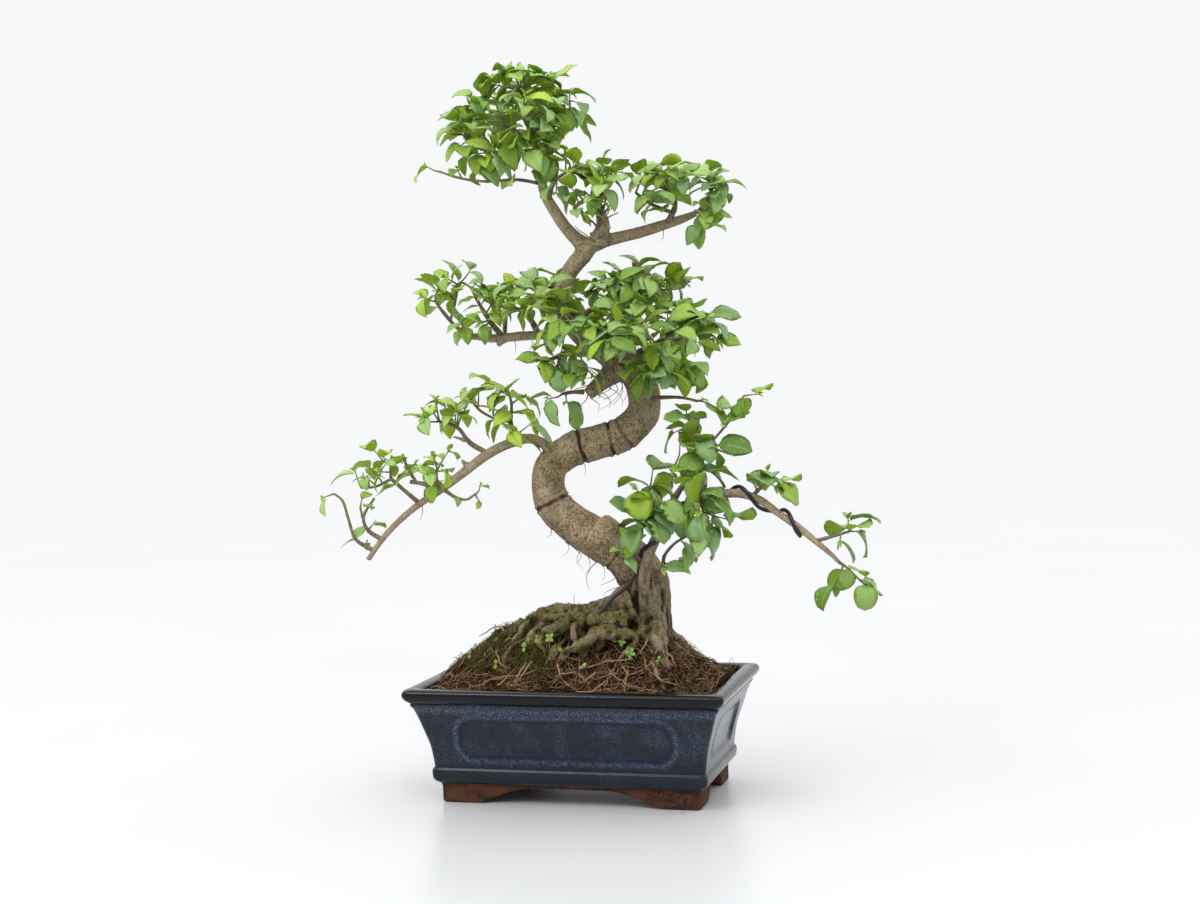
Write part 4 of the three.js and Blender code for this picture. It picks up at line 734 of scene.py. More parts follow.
on_trunk = step_up(
    np.min(lengths_of(skin[:, None] - trunk_line[None, ::3, :3])
           - trunk_line[None, ::3, 3], axis=1), 7.0, 3.0)
thick = 0.35 + 0.65 * on_trunk
lift = knots * thick - 0.3 * pits * thick + bitten + old * (1.5 * furrows + 0.35 * grain)
skin = skin + facing * lift[:, None]
joined.vertices.foreach_set("co", (skin / 1000 + pot_middle).ravel())
edges = np.empty(len(joined.edges) * 2, np.int32)
joined.edges.foreach_get("vertices", edges)
ends = np.concatenate([edges.reshape(-1, 2), edges.reshape(-1, 2)[:, ::-1]])
valence = np.bincount(ends[:, 0], minlength=count)[:, None]
evened = skin
for _ in range(EVENING_PASSES):
    beside = [np.bincount(ends[:, 0], evened[ends[:, 1], k], count) for k in range(3)]
    evened = (evened + np.stack(beside, axis=-1) / valence) / 2
# How far the skin lies below its evened shape, in millimetres: above 0 in hollows.
below = ((evened - skin) * facing).sum(axis=-1)
hollow, crest = step_up(below, 0.0, 0.6), step_up(below, -0.1, -0.8)
upward_face = step_up(facing[:, 2], -0.5, 0.4)
mossy = step_up(skin[:, 2], 160.0, 136.0)
mossy = mossy * step_up(lumps(skin, 9.0, 38) + upward_face, -0.5, 0.3)
rubbed = crest * step_up(lumps(skin, 14.0, 39), 0.0, 0.4)
mossy *= step_up(skin[:, 0], 75.0, 48.0) * (1 - 0.85 * rubbed)
MOSSY_FORK = (-20, -10, 262)
from_fork = lengths_of(skin - MOSSY_FORK)
mossy = np.maximum(mossy, 0.6 * bell(from_fork, 0.0, 10))
for mark, values in (("scar", scar), ("moss", mossy), ("old", old), ("pit", pits * thick),
                     ("furrow", step_up(furrows, 0.1, -0.9) * old), ("hollow", hollow),
                     ("crest", crest)):
    joined.attributes.new(mark, "FLOAT", "POINT").data.foreach_set("value", values)
joined.update()

bark_look, tree, surface = shader("bark", roughness=0.82, specular_ior_level=0.12)
mark = {name: mark_of(tree, name)
        for name in ("scar", "moss", "old", "pit", "furrow", "hollow", "crest")}
tint, grains = mottled(tree, (0.160, 0.116, 0.062), (0.42, 0.325, 0.20), 1.5,
                       times(mark["moss"], 0.85), (0.215, 0.185, 0.022))
lenticels = between(noise(tree, 1.9, 2.0, (0.8, 1.0, 1.5)), 0.58, 0.66)
grey = between(noise(tree, 24.0), 0.45, 0.7)
worn = times(times(mark["crest"], 0.30), less(1.0, mark["moss"]))
# Painted shade in the hollows, deeper on the old bark.
hollow_painted_shade = times(mark["hollow"], plus(times(mark["old"], 0.7), 0.25))
feed(surface, {"Base Color": laid_over(
    tint,
    (times(lenticels, 0.7), (0.055, 0.040, 0.024)),
    (times(mark["pit"], 0.35), (0.06, 0.045, 0.026)),
    (times(grey, 0.3), (0.31, 0.275, 0.20)), (worn, (0.47, 0.385, 0.265)),
    (mark["furrow"], (0.022, 0.016, 0.009)), (hollow_painted_shade, (0.014, 0.010, 0.006)),
    (times(mark["old"], 0.28), (0.060, 0.046, 0.024)), (mark["scar"], (0.070, 0.020, 0.011)),
)})
relief(surface, less(grains, times(lenticels, 0.5)), 0.9)
joined.materials.append(bark_look)
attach(wood, "root")
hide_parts("trunk_and_roots")


# Training wire. Black coated aluminium, 3 mm thick. Its end is tucked behind the front roots,
# then it crosses the trunk's foot and winds up the lowest right branch, which it holds down.
WIRE_RADIUS = 1.5
WIRE_LEAD = [(18, -29, 137), (21, -29, 143), (30, -24, 154), (42, -22, 164)]
WIRE_TURNS, WIRE_FROM, WIRE_TO, WIRE_PER_TURN, WIRE_START = 3.5, 1.6, 9.4, 9, 2.0
branch = smooth_line(LIMBS["wired"], 8)
wraps = int(round(WIRE_TURNS * WIRE_PER_TURN))
at = np.round(np.linspace(WIRE_FROM * 8, WIRE_TO * 8, wraps + 1)).astype(int)
circle = tubes(branch[None, at, :3], branch[None, at, 3] * 0 + 1, 4)[0] - branch[at, None, :3]
angle = (WIRE_START + 2 * np.pi * np.arange(wraps + 1) / WIRE_PER_TURN)[:, None]
wound = branch[at, :3] + (branch[at, 3:] + WIRE_RADIUS + 0.25) * (
    circle[:, 0] * np.cos(angle) + circle[:, 1] * np.sin(angle)
)
wire_path = smooth_line(np.vstack([WIRE_LEAD, wound]), 5)
wire_rings = tubes(wire_path[None], np.full((1, len(wire_path)), WIRE_RADIUS), 12)
wire_look, tree, surface = shader("black_coating", metallic=0.3, roughness=0.38)
feed(surface, {"Base Color": two_tone(tree, 5.0, (0.008, 0.009, 0.012), (0.024, 0.026, 0.030))})
relief(surface, noise(tree, 1.2, 2.0), 0.12)
wire = finished("wound_wire", [shells(wire_rings)], [wire_look])
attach(wire, "root")
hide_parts("training_wire")


# Sprays. Each is a woody stem with side boughs, green shoots and leaves in opposite pairs. The
# first numbers are the stem's and boughs' places and radii, then the shoots' tips: a place, how
# many leaves stand at it, their length, and which of its turns the pair took.
SPRAYS = {
    "apex": (
        [(-23, -4, 478, 3.6), (-25, -3, 492, 3), (-30, 0, 510, 2.4), (-35, 2, 530, 1.9),
         (-39, 2, 548, 1.3)],
        [[(-27, -1, 500, 1.8), (-45, -8, 499, 1.5), (-61, -14, 499, 1.3), (-77, -18, 509, 1.1)],
         [(-30, 0, 510, 1.7), (-57, 14, 522, 1.4), (-82, 24, 536, 1.1)], [(-31, 1, 515, 1.7),
         (-17, 10, 523, 1.4), (-4, 16, 530, 1.1)], [(-29, 0, 507, 1.6), (-26, -20, 515, 1.3),
         (-28, -34, 522, 1.1)], [(-33, 2, 520, 1.6), (-34, 24, 533, 1.3), (-35, 38, 541, 1.1)]],
        [(-60, -6, 553, 2, 24, 0), (-42, -10, 560, 2, 24, 3), (-31, 6, 560, 2, 24, 8),
         (-11, -6, 551, 2, 24, 9), (0, 2, 541, 2, 26, 2), (-76, -8, 543, 2, 24, 1),
         (-84, -20, 525, 2, 24, 11), (-81, -24, 504, 2, 24, 7), (-64, -20, 490, 2, 26, 3),
         (-24, -38, 535, 2, 24, 2), (-9, -28, 528, 2, 24, 0), (-25, -30, 497, 2, 26, 7),
         (-6, -20, 500, 2, 25, 7), (-46, -32, 506, 1, 24, 2), (-57, 36, 562, 2, 24, 5),
         (-28, 38, 554, 2, 24, 3), (-93, 36, 526, 2, 24, 10), (-68, 52, 539, 2, 24, 1),
         (-5, 34, 526, 2, 24, 9), (-53, 40, 506, 2, 24, 7)],
    ),
    "apex_low": (
        [(-17, -5, 461, 2.4), (-11, -14, 471, 1.7), (-3, -20, 477, 1.3), (7, -22, 481, 1.1)],
        [],
        [(1, -18, 489, 1, 23, 8), (16, -20, 484, 1, 22, 9), (-5, -26, 465, 1, 20, 0)],
    ),
    "apex_side": (
        [(-24, -8, 474, 1.5), (-41, -14, 477, 1.2), (-61, -20, 476, 1.1), (-81, -24, 479, 1),
         (-98, -26, 485, 0.9)],
        [],
        [(-107, -27, 489, 1, 20, 8), (-83, -26, 485, 1, 15, 8), (-60, -30, 478, 1, 18, -1)],
    ),
    "right_stump": (
        [(24, -4, 450, 3.4), (22, -5, 459, 2.6), (20, -6, 467, 1.9)],
        [[(22, -5, 457, 1.6), (14, -16, 458, 1.3), (8, -24, 452, 1.1)], [(23, -5, 459, 1.6),
         (24, 8, 469, 1.3), (23, 20, 480, 1.1)]],
        [(5, -14, 467, 2, 22, 9), (20, -18, 476, 2, 23, 4), (34, -26, 469, 2, 23, 5),
         (36, -8, 479, 2, 22, 9), (16, -28, 447, 1, 20, 10), (20, 12, 485, 2, 22, 1),
         (24, 34, 484, 2, 22, 7)],
    ),
    "right_mid": (
        [(73, 13, 441, 2.8), (79, 12, 453, 2.2), (77, 10, 465, 1.7), (72, 8, 474, 1.2)],
        [[(76, 12, 448, 1.7), (63, 2, 454, 1.4), (52, -4, 463, 1.1)], [(78, 12, 457, 1.6),
         (69, 32, 467, 1.3), (59, 48, 475, 1.1)]],
        [(48, -10, 472, 2, 22, -1), (62, -16, 476, 2, 22, 10), (67, -14, 459, 2, 21, 1),
         (79, -8, 477, 2, 22, 4), (89, 0, 473, 2, 22, 10), (49, 26, 479, 2, 22, 4),
         (66, 22, 484, 2, 22, 7), (75, 44, 479, 2, 22, 5)],
    ),
    "right_tip": (
        [(95, 19, 447, 2.2), (102, 16, 454, 1.7), (108, 13, 462, 1.3)],
        [[(98, 18, 450, 1.4), (99, 6, 441, 1.1)]],
        [(98, -6, 475, 2, 22, 8), (104, 12, 477, 2, 22, 10), (115, 4, 467, 2, 23, 4),
         (110, 18, 456, 1, 23, 11), (102, 0, 436, 2, 22, 2)],
    ),
    "mid_left_outer": (
        [(-96, 27, 358, 2), (-107, 25, 367, 1.7), (-115, 20, 378, 1.4), (-120, 16, 387, 1.1)],
        [[(-110, 22, 372, 1.3), (-105, 22, 388, 1.1), (-103, 22, 400, 1)]],
        [(-127, 10, 390, 2, 22, 7), (-121, 24, 395, 2, 21, 11), (-110, 14, 405, 2, 20, 3),
         (-93, 24, 411, 2, 22, 11), (-97, 12, 370, 2, 18, 0), (-124, 40, 400, 1, 20, 11)],
    ),
    "mid_left_inner": (
        [(-66, 18, 358, 2.4), (-74, 15, 369, 2), (-81, 12, 382, 1.5), (-87, 10, 395, 1.1)],
        [[(-63, 18, 360, 1.4), (-63, 22, 377, 1.2), (-67, 24, 390, 1)]],
        [(-82, 2, 399, 1, 19, 2), (-68, 6, 387, 2, 20, 3), (-70, 34, 398, 2, 21, 4),
         (-76, -4, 366, 1, 17, 6)],
    ),
    "mid_left_root": (
        [(-33, 9, 359, 2.6), (-39, 6, 372, 2.1), (-45, 3, 383, 1.6), (-49, 0, 394, 1.2)],
        [[(-41, 5, 376, 1.5), (-26, -12, 385, 1.2), (-16, -22, 392, 1)]],
        [(-49, -10, 377, 2, 22, 10), (-49, -6, 397, 2, 22, 11), (-36, 8, 399, 2, 23, 6),
         (-13, -26, 394, 2, 23, 0), (-26, -24, 380, 2, 22, 1), (-52, 26, 392, 2, 22, 9)],
    ),
    "crown_left": (
        [(-3, -8, 369, 3), (-5, -26, 369, 2.2), (-2, -44, 373, 1.6)],
        [],
        [(-12, -34, 369, 2, 23, 5), (5, -40, 385, 2, 24, 3), (-6, -44, 355, 2, 23, 11),
         (15, -62, 360, 2, 23, 7)],
    ),
    "crown_front": (
        [(23, -6, 347, 3), (30, -28, 353, 2.3), (39, -50, 361, 1.7)],
        [],
        [(29, -56, 361, 2, 24, 2), (42, -48, 373, 2, 24, 7), (57, -66, 360, 2, 24, 9),
         (45, -74, 350, 2, 24, 3)],
    ),
    "crown_right_front": (
        [(36, 4, 334, 3.2), (61, -22, 344, 2.3), (79, -38, 349, 1.8), (94, -46, 350, 1.3)],
        [],
        [(64, -40, 360, 2, 24, 2), (80, -52, 340, 2, 24, 3), (93, -58, 356, 2, 23, 1),
         (106, -50, 347, 2, 22, 6)],
    ),
    "crown_right": (
        [(41, 14, 332, 3), (58, 16, 346, 2.4), (79, 12, 358, 1.9), (95, 8, 363, 1.4)],
        [],
        [(89, -4, 371, 2, 25, 9), (105, -8, 367, 2, 27, 7), (110, -2, 350, 2, 22, 1),
         (86, 22, 353, 2, 23, 0), (69, 20, 372, 2, 24, 9)],
    ),
    "crown_top": (
        [(0, 4, 366, 3), (12, 12, 377, 2.4), (31, 14, 387, 1.9), (50, 13, 395, 1.4)],
        [[(22, 13, 383, 1.5), (32, -6, 393, 1.2)]],
        [(24, -14, 394, 2, 24, 10), (40, -18, 395, 2, 24, 10), (49, 2, 403, 2, 24, 8),
         (65, -12, 396, 2, 24, 4), (69, 10, 389, 2, 23, 8), (84, 14, 393, 1, 22, 7),
         (60, -22, 376, 2, 24, 2), (35, 38, 402, 2, 24, 0)],
    ),
    "crown_back": (
        [(13, 10, 347, 3), (16, 34, 360, 2.4), (18, 56, 371, 1.8)],
        [],
        [(-4, 60, 372, 2, 24, 4), (13, 66, 385, 2, 24, 11), (38, 58, 377, 2, 24, 11),
         (18, 76, 359, 2, 24, 0)],
    ),
    "crown_back_left": (
        [(-11, 4, 381, 2.6), (-24, 26, 387, 2), (-39, 44, 386, 1.4)],
        [],
        [(-44, 54, 390, 2, 23, 4), (-22, 42, 400, 2, 24, 1), (-19, 66, 386, 2, 24, 5)],
    ),
    "crown_low_left": (
        [(13, -6, 346, 2.6), (-1, -18, 343, 2), (-16, -24, 337, 1.6), (-26, -28, 339, 1.2)],
        [[(-7, -21, 341, 1.4), (-9, -26, 326, 1)]],
        [(-25, -30, 344, 1, 22, 4), (-10, -32, 331, 1, 24, 0), (6, -34, 338, 2, 22, 2),
         (19, -30, 327, 2, 21, 10)],
    ),
    "crown_low_right": (
        [(46, 6, 320, 2.6), (65, -20, 330, 1.8), (81, -28, 333, 1.3)],
        [[(72, -24, 332, 1.2), (89, -16, 334, 1), (99, -14, 329, 0.9)]],
        [(52, -30, 325, 1, 24, 7), (67, -40, 327, 2, 24, 4), (81, -36, 326, 2, 25, 0),
         (91, -28, 330, 2, 25, 11), (101, -14, 326, 1, 23, 8)],
    ),
    "stub_low": (
        [(6, -4, 312, 2), (-1, -12, 312, 1.5), (-7, -18, 311, 1.2)],
        [],
        [(-3, -20, 306, 1, 27, 8), (-15, -24, 308, 2, 25, 8)],
    ),
    "low_left_a": (
        [(-68, -23, 267, 2.2), (-81, -24, 275, 1.9), (-90, -26, 287, 1.5), (-104, -28, 292, 1.2)],
        [],
        [(-109, -30, 301, 2, 22, 3), (-102, -18, 302, 1, 19, 1), (-88, -34, 298, 2, 19, 7),
         (-112, -40, 294, 2, 21, 4), (-86, -22, 299, 1, 16, 9), (-104, -34, 307, 1, 22, 4)],
    ),
    "low_left_b": (
        [(-48, -18, 274, 2.4), (-49, -16, 285, 2), (-51, -14, 295, 1.5)],
        [[(-50, -15, 290, 1.3), (-65, -10, 293, 1.1), (-79, -8, 301, 1), (-88, -8, 314, 0.9)],
         [(-50, -15, 292, 1.4), (-48, -18, 304, 1.2), (-50, -20, 315, 1)]],
        [(-65, -18, 320, 1, 24, 4), (-50, -26, 312, 2, 20, 2), (-36, -24, 309, 2, 22, 11),
         (-34, -30, 298, 1, 21, 7), (-31, -28, 288, 1, 25, 3), (-47, -30, 284, 1, 21, 4),
         (-89, -8, 316, 1, 8, 10)],
    ),
    "low_left_c": (
        [(-102, -34, 240, 2), (-115, -36, 244, 1.8), (-126, -38, 246, 1.5)],
        [[(-121, -37, 245, 1.4), (-127, -40, 257, 1.2), (-130, -42, 268, 1)],
         [(-105, -34, 241, 1.2), (-107, -30, 253, 1)]],
        [(-109, -44, 252, 2, 18, 11), (-106, -26, 245, 1, 22, 3), (-125, -32, 259, 1, 17, 8),
         (-109, -30, 264, 2, 17, 9), (-100, -22, 268, 1, 22, 7)],
    ),
    "low_left_d": (
        [(-119, -37, 229, 2), (-131, -40, 240, 1.7), (-140, -43, 249, 1.4)],
        [[(-140, -43, 249, 1.2), (-139, -45, 259, 1)], [(-141, -43, 248, 1.2), (-152, -44, 243, 1),
         (-164, -44, 242, 0.9)]],
        [(-144, -46, 265, 2, 20, 2), (-153, -40, 270, 1, 22, 5), (-170, -40, 253, 1, 24, 9),
         (-158, -50, 250, 1, 15, 8), (-143, -54, 255, 2, 19, 1), (-135, -36, 261, 1, 16, 5)],
    ),
    "low_left_e": (
        [(-149, -44, 202, 1.8), (-159, -46, 209, 1.5), (-162, -47, 220, 1.2), (-153, -46, 234, 1)],
        [[(-163, -47, 219, 1.1), (-164, -48, 227, 0.9)]],
        [(-162, -50, 233, 1, 15, 3), (-155, -44, 214, 1, 13, 8)],
    ),
    "low_left_f": (
        [(-155, -45, 193, 1.8), (-169, -47, 202, 1.4), (-174, -48, 217, 1.2), (-178, -49, 232, 1),
         (-185, -49, 238, 0.9)],
        [],
        [(-191, -52, 236, 1, 19, 9), (-162, -44, 199, 1, 11, 11)],
    ),
    "low_left_g": (
        [(-100, -33, 239, 1.6), (-92, -30, 233, 1.2), (-84, -28, 231, 1), (-77, -26, 235, 0.9)],
        [],
        [(-74, -24, 241, 1, 13, 10), (-74, -26, 230, 1, 8, 5)],
    ),
    "wired_up": (
        [(76, -28, 213, 2.9), (80, -30, 227, 2.6), (90, -32, 242, 2.2), (98, -33, 256, 1.8),
         (103, -33, 267, 1.5)],
        [[(102, -33, 265, 1.3), (97, -30, 278, 1.1), (94, -28, 289, 1)], [(102, -33, 264, 1.3),
         (113, -32, 274, 1.1), (126, -30, 289, 1), (136, -28, 306, 0.9)], [(95, -32, 250, 1.2),
         (79, -24, 252, 1)]],
        [(92, -26, 295, 2, 18, 1), (82, -24, 280, 1, 20, 7), (85, -22, 270, 1, 17, 3),
         (103, -40, 273, 1, 24, 3), (117, -40, 271, 1, 26, 6), (122, -36, 284, 1, 24, 9),
         (135, -28, 303, 2, 18, 4), (145, -26, 307, 1, 22, 6), (105, -44, 254, 1, 30, 8),
         (78, -18, 250, 1, 24, 7)],
    ),
    "wired_inner": (
        [(65, -24, 198, 1.8), (59, -22, 212, 1.5), (54, -24, 226, 1.3), (62, -26, 238, 1.1)],
        [[(60, -22, 211, 1.1), (51, -26, 214, 1)]],
        [(54, -32, 237, 1, 30, 11), (65, -28, 251, 1, 28, 10), (54, -32, 218, 1, 26, 11),
         (74, -44, 228, 1, 26, 1)],
    ),
    "wired_mid": (
        [(101, -37, 227, 2), (104, -42, 236, 1.5), (110, -46, 241, 1.2)],
        [[(103, -41, 234, 1.2), (108, -50, 222, 1)]],
        [(98, -46, 239, 1, 27, 11), (113, -58, 234, 1, 30, 6), (126, -52, 247, 1, 26, -1),
         (108, -54, 210, 1, 32, 8), (123, -50, 217, 1, 30, 11)],
    ),
    "wired_outer": (
        [(144, -46, 233, 1.8), (152, -48, 240, 1.4), (161, -50, 247, 1.1)],
        [],
        [(145, -52, 243, 1, 28, 1), (156, -46, 250, 1, 18, 10), (162, -54, 241, 1, 24, 10),
         (168, -46, 243, 1, 21, 2)],
    ),
    "wired_tip": (
        [(193, -56, 201, 1.6), (204, -58, 204, 1.2), (217, -60, 208, 0.9)],
        [],
        [(216, -60, 215, 1, 25, 5), (222, -62, 208, 1, 24, 11), (210, -62, 202, 1, 20, 6)],
    ),
    "wired_end": (
        [(208, -59, 186, 1.5), (215, -60, 181, 1), (223, -60, 173, 0.9), (229, -60, 168, 0.9)],
        [],
        [(206, -62, 170, 1, 27, 0), (216, -58, 177, 1, 24, 5), (225, -62, 173, 1, 12, 11)],
    ),
    "base_left": (
        [(35, -7, 179, 1.9), (41, -22, 189, 1.2), (49, -26, 196, 1)],
        [],
        [(43, -32, 188, 2, 16, 10), (47, -24, 203, 1, 21, 5)],
    ),
    "base_right": (
        [(52, -2, 168, 2.2), (66, -8, 174, 1.8), (69, -14, 185, 1.4), (78, -18, 195, 1.1),
         (88, -20, 201, 1)],
        [],
        [(70, -20, 178, 1, 23, 5), (80, -14, 181, 1, 21, 4), (92, -24, 203, 1, 22, 3)],
    ),
    "side_twig": (
        [(52, 8, 305, 1.9), (64, 1, 306, 1.7), (83, -8, 306, 1.2), (98, -14, 303, 1)],
        [],
        [(102, -18, 304, 1, 27, 5), (87, -16, 301, 1, 19, -1), (112, -18, 298, 1, 26, 11)],
    ),
}

# Leaf colour by spray, from 0 for old and dark to 1 for young and yellow-green.
AGE = {"apex": 0.34, "apex_low": 0.3, "apex_side": 0.6, "right": 0.42, "mid_left": 0.5,
       "crown": 0.26, "stub": 0.12, "low_left": 0.85, "wired": 0.02, "base": 0.22, "side": 0.4}
# How fully each spray is filled in between the leaves that its tips carry.
FILL = {"apex": 0.95, "apex_low": 0.9, "apex_side": 0.15, "right": 0.9, "mid_left": 0.6,
        "crown": 0.95, "stub": 0.3, "low_left": 0.3, "wired": 0.22, "base": 0.2, "side": 0.15}
SHOOT_RADIUS, LEAN_OUT, FORWARD, SAG = 0.95, 0.45, 0.55, 0.05
# A leaf's width as a share of its length, and the length from which it is of the broad kind.
SLIM, BROAD, BROAD_FROM, BROAD_FROM_WIRED = 0.62, 0.76, 26, 14
PAIR_STEP, YELLOW_SHARE = 6.5, 0.02
# Boughs thinner than this carry leaves, tips between these gaps get a shoot between them, and a
# new pair of leaves is kept this clear of others, of which those within its reach are looked at.
LEAFY_RADIUS, GAP_FROM, GAP_TO = 1.75, 13, 34
CLEARANCE, TIGHT_CLEARANCE, LOOK_WITHIN = 4.6, 4.1, 60
UP = np.array([0.0, 0.0, 1.0])


def unit(vector):
    """A vector at length 1."""
    return vector / np.linalg.norm(vector)


def rolls(seed):
    """Repeatable numbers from 0 to 1: state = (1664525 state + 1013904223) mod 2^32."""
    state = (seed * 7919 + 12345) % 2**32
    numbers = []
    for _ in range(19):
        state = (state * 1664525 + 1013904223) % 2**32
        numbers.append(state / 2**32)
    return numbers[2:]


def leaf_at(tip, axis, turn, hand, length, tilt):
    """One leaf of a pair: base, along, normal and length. The pair stands across a shoot's axis."""
    flat = np.cross(UP, axis)
    flat = unit(flat) if np.linalg.norm(flat) > 0.2 else np.array([1.0, 0.0, 0.0])
    rise = np.cross(axis, flat)
    along = hand * (flat * np.cos(turn) + rise * np.sin(turn)) + FORWARD * axis
    along = unit(along - (0, 0, SAG))
    normal = UP + LEAN_OUT * axis + np.cross(along, UP) * tilt
    normal = unit(normal - along * (normal @ along))
    return np.concatenate([tip, along, normal, [length]])


# Where a leaf is kept clear of others: shares along it, and across it in half lengths.
CLEAR_ALONG = np.array([0.4, 0.4, 0.7, 1.0])[:, None]
CLEAR_ACROSS = np.array([-0.27, 0.27, 0.0, 0.0])[:, None]


def leaf_marks(leaf):
    """Four places on a leaf, with the droop of its outer half."""
    base, along, normal, length = leaf[:3], leaf[3:6], leaf[6:9], leaf[9]
    drop = 0.32 * CLEAR_ALONG**2
    side = np.cross(normal, along)
    return base + length * (along * CLEAR_ALONG * 0.93 + side * CLEAR_ACROSS - normal * drop)


# Shares along a leaf of its cross sections, and the places round each of them: over the face from
# one edge to the other, then back underneath.
STATIONS = np.array([0.0, 0.07, 0.14, 0.27, 0.42, 0.57, 0.72, 0.86, 1.0])
ACROSS = np.array([1.0, 0.5, 0.0, -0.5, -1.0, -0.5, 0.0, 0.5])
FACE = np.array([0.0, 1.0, 1.0, 1.0, 0.0, -1.0, -1.0, -1.0])


def blades(leaves, broad, draw):
    """Rings [n, s, k] of leaf blades.

    The midrib bends down along theta = droop v + curl v^2, and its place is the sum of
    (along cos theta - normal sin theta) dv. Half the width is sin(pi q^0.75)^0.9 after a short
    stalk, or sin(pi q^0.86)^0.62 on the broad kind. The halves fold up from the midrib, arch
    between the rib and the edge, and wave along the edge.
    """
    base, along, normal = leaves[:, None, :3], leaves[:, None, 3:6], leaves[:, None, 6:9]
    length = leaves[:, 9, None]
    droop, curl, fold, wave, phase, twist = draw
    v = STATIONS[None]
    theta = droop[:, None] * v + curl[:, None] * v**2
    bend = theta[..., None]
    heading = along * np.cos(bend) - normal * np.sin(bend)
    paces = np.diff(STATIONS)[None, :, None] * (heading[:, 1:] + heading[:, :-1]) / 2
    rib = np.concatenate([np.zeros_like(heading[:, :1]), np.cumsum(paces, axis=1)], axis=1)
    rib = base + rib * length[..., None]
    up = normal * np.cos(bend) + along * np.sin(bend)
    side = np.cross(normal, along) + 0 * bend
    roll = (twist[:, None] * v)[..., None]
    side, up = side * np.cos(roll) + up * np.sin(roll), up * np.cos(roll) - side * np.sin(roll)
    q = np.clip((v - 0.07) / 0.93, 0, 1)
    width = length * np.where(broad, BROAD, SLIM)[:, None]
    slim_edge = np.sin(np.pi * q**0.75) ** 0.9
    round_edge = np.sin(np.pi * q**0.86) ** 0.62
    half = np.where(broad[:, None], round_edge, slim_edge) * width / 2
    half = np.maximum(0.36 * (1 - 0.7 * v), half)
    u = ACROSS[None, None]
    out = half[..., None] * u
    folded = fold[:, None, None] * np.abs(out) + 0.16 * np.abs(out) * (1 - np.abs(u)) * 2
    ripple = np.sin(9 * v + phase[:, None])[..., None]
    waved = wave[:, None, None] * half[..., None] * u * u * ripple
    thick = FACE[None, None] * (0.16 + 0.14 * (np.abs(u) < 0.1) * (1 - v[..., None]))
    lift = folded * (half[..., None] > 0.5) + waved + thick
    return rib[:, :, None] + side[:, :, None] * out[..., None] + up[:, :, None] * lift[..., None]


def shoots_to(tips, lines):
    """For each tip, where its shoot starts: on the nearest wood, towards the spray's base."""
    gap = lengths_of(tips[:, None] - lines)
    gap = gap + 0.3 * lengths_of(lines - lines[0])
    return lines[np.argmin(gap, axis=1)]


def of_spray(table, name):
    """A table's value for the longest of its keys that a spray's name starts with."""
    return table[max((start for start in table if name.startswith(start)), key=len)]


spread = np.random.default_rng(7)
placed = np.zeros((0, 3))
# The solids' box, which no leaf leaves.
room_low, room_high = (np.array(cad_box[k]) * 1000 - pot_middle * 1000 for k in (0, 1))


def settle(tip, axis, size, tries=8, room=CLEARANCE):
    """The leaves of a pair in the roomiest of some turns, or none where there is no room."""
    global placed
    best, best_room = [], room
    for _ in range(tries):
        turn, tilt = spread.uniform(-1.5, 1.5), spread.uniform(-0.6, 0.6)
        pair = [leaf_at(tip, axis, turn, hand, size * spread.uniform(0.8, 1.05), tilt)
                for hand in (1, -1)]
        marks = np.concatenate([leaf_marks(leaf) for leaf in pair])
        near = np.abs(placed - tip).max(axis=-1) < LOOK_WITHIN
        free = lengths_of(marks[:, None] - placed[None, near]).min(initial=99.0)
        if (marks < room_low + 2).any() or (marks > room_high - 2).any():
            continue
        if free > best_room:
            best, best_room, best_marks = pair, free, marks
    if best:
        placed = np.concatenate([placed, best_marks])
    return best


# The leaves that the solids hold come first, and the rest fill in round them.
grown = {}
for number, (name, (stem, boughs, tips)) in enumerate(SPRAYS.items()):
    lines = [smooth_line(line, 2) for line in (stem, *boughs)]
    wood_points = np.concatenate(lines)[:, :3]
    tips = np.array(tips, float)
    starts = shoots_to(tips[:, :3], wood_points)
    leaves, kept = [], []
    for i, (tip, start) in enumerate(zip(tips, starts)):
        if tip[5] < 0:
            continue
        roll = rolls(number * 100 + i)
        axis = unit(tip[:3] - start)
        turn = 1.8 * (roll[5 + int(tip[5])] - 0.5)
        shares = (0.95 + 0.13 * roll[0], 0.84 + 0.16 * roll[1])
        for hand, share in zip((1, -1)[: int(tip[3])], shares):
            spot = tip[:3] - axis * (0 if hand > 0 else 2)
            leaf = leaf_at(spot, axis, turn, hand, tip[4] * share, 1.1 * (roll[4] - 0.5))
            leaves.append((leaf, 0.5 + 0.7 * roll[2], 0.12 + 0.2 * roll[3], tip[4]))
            placed = np.concatenate([placed, leaf_marks(leaf)])
        kept.append((tip[:3], start, tip[4]))
    grown[name] = (lines, kept, leaves)

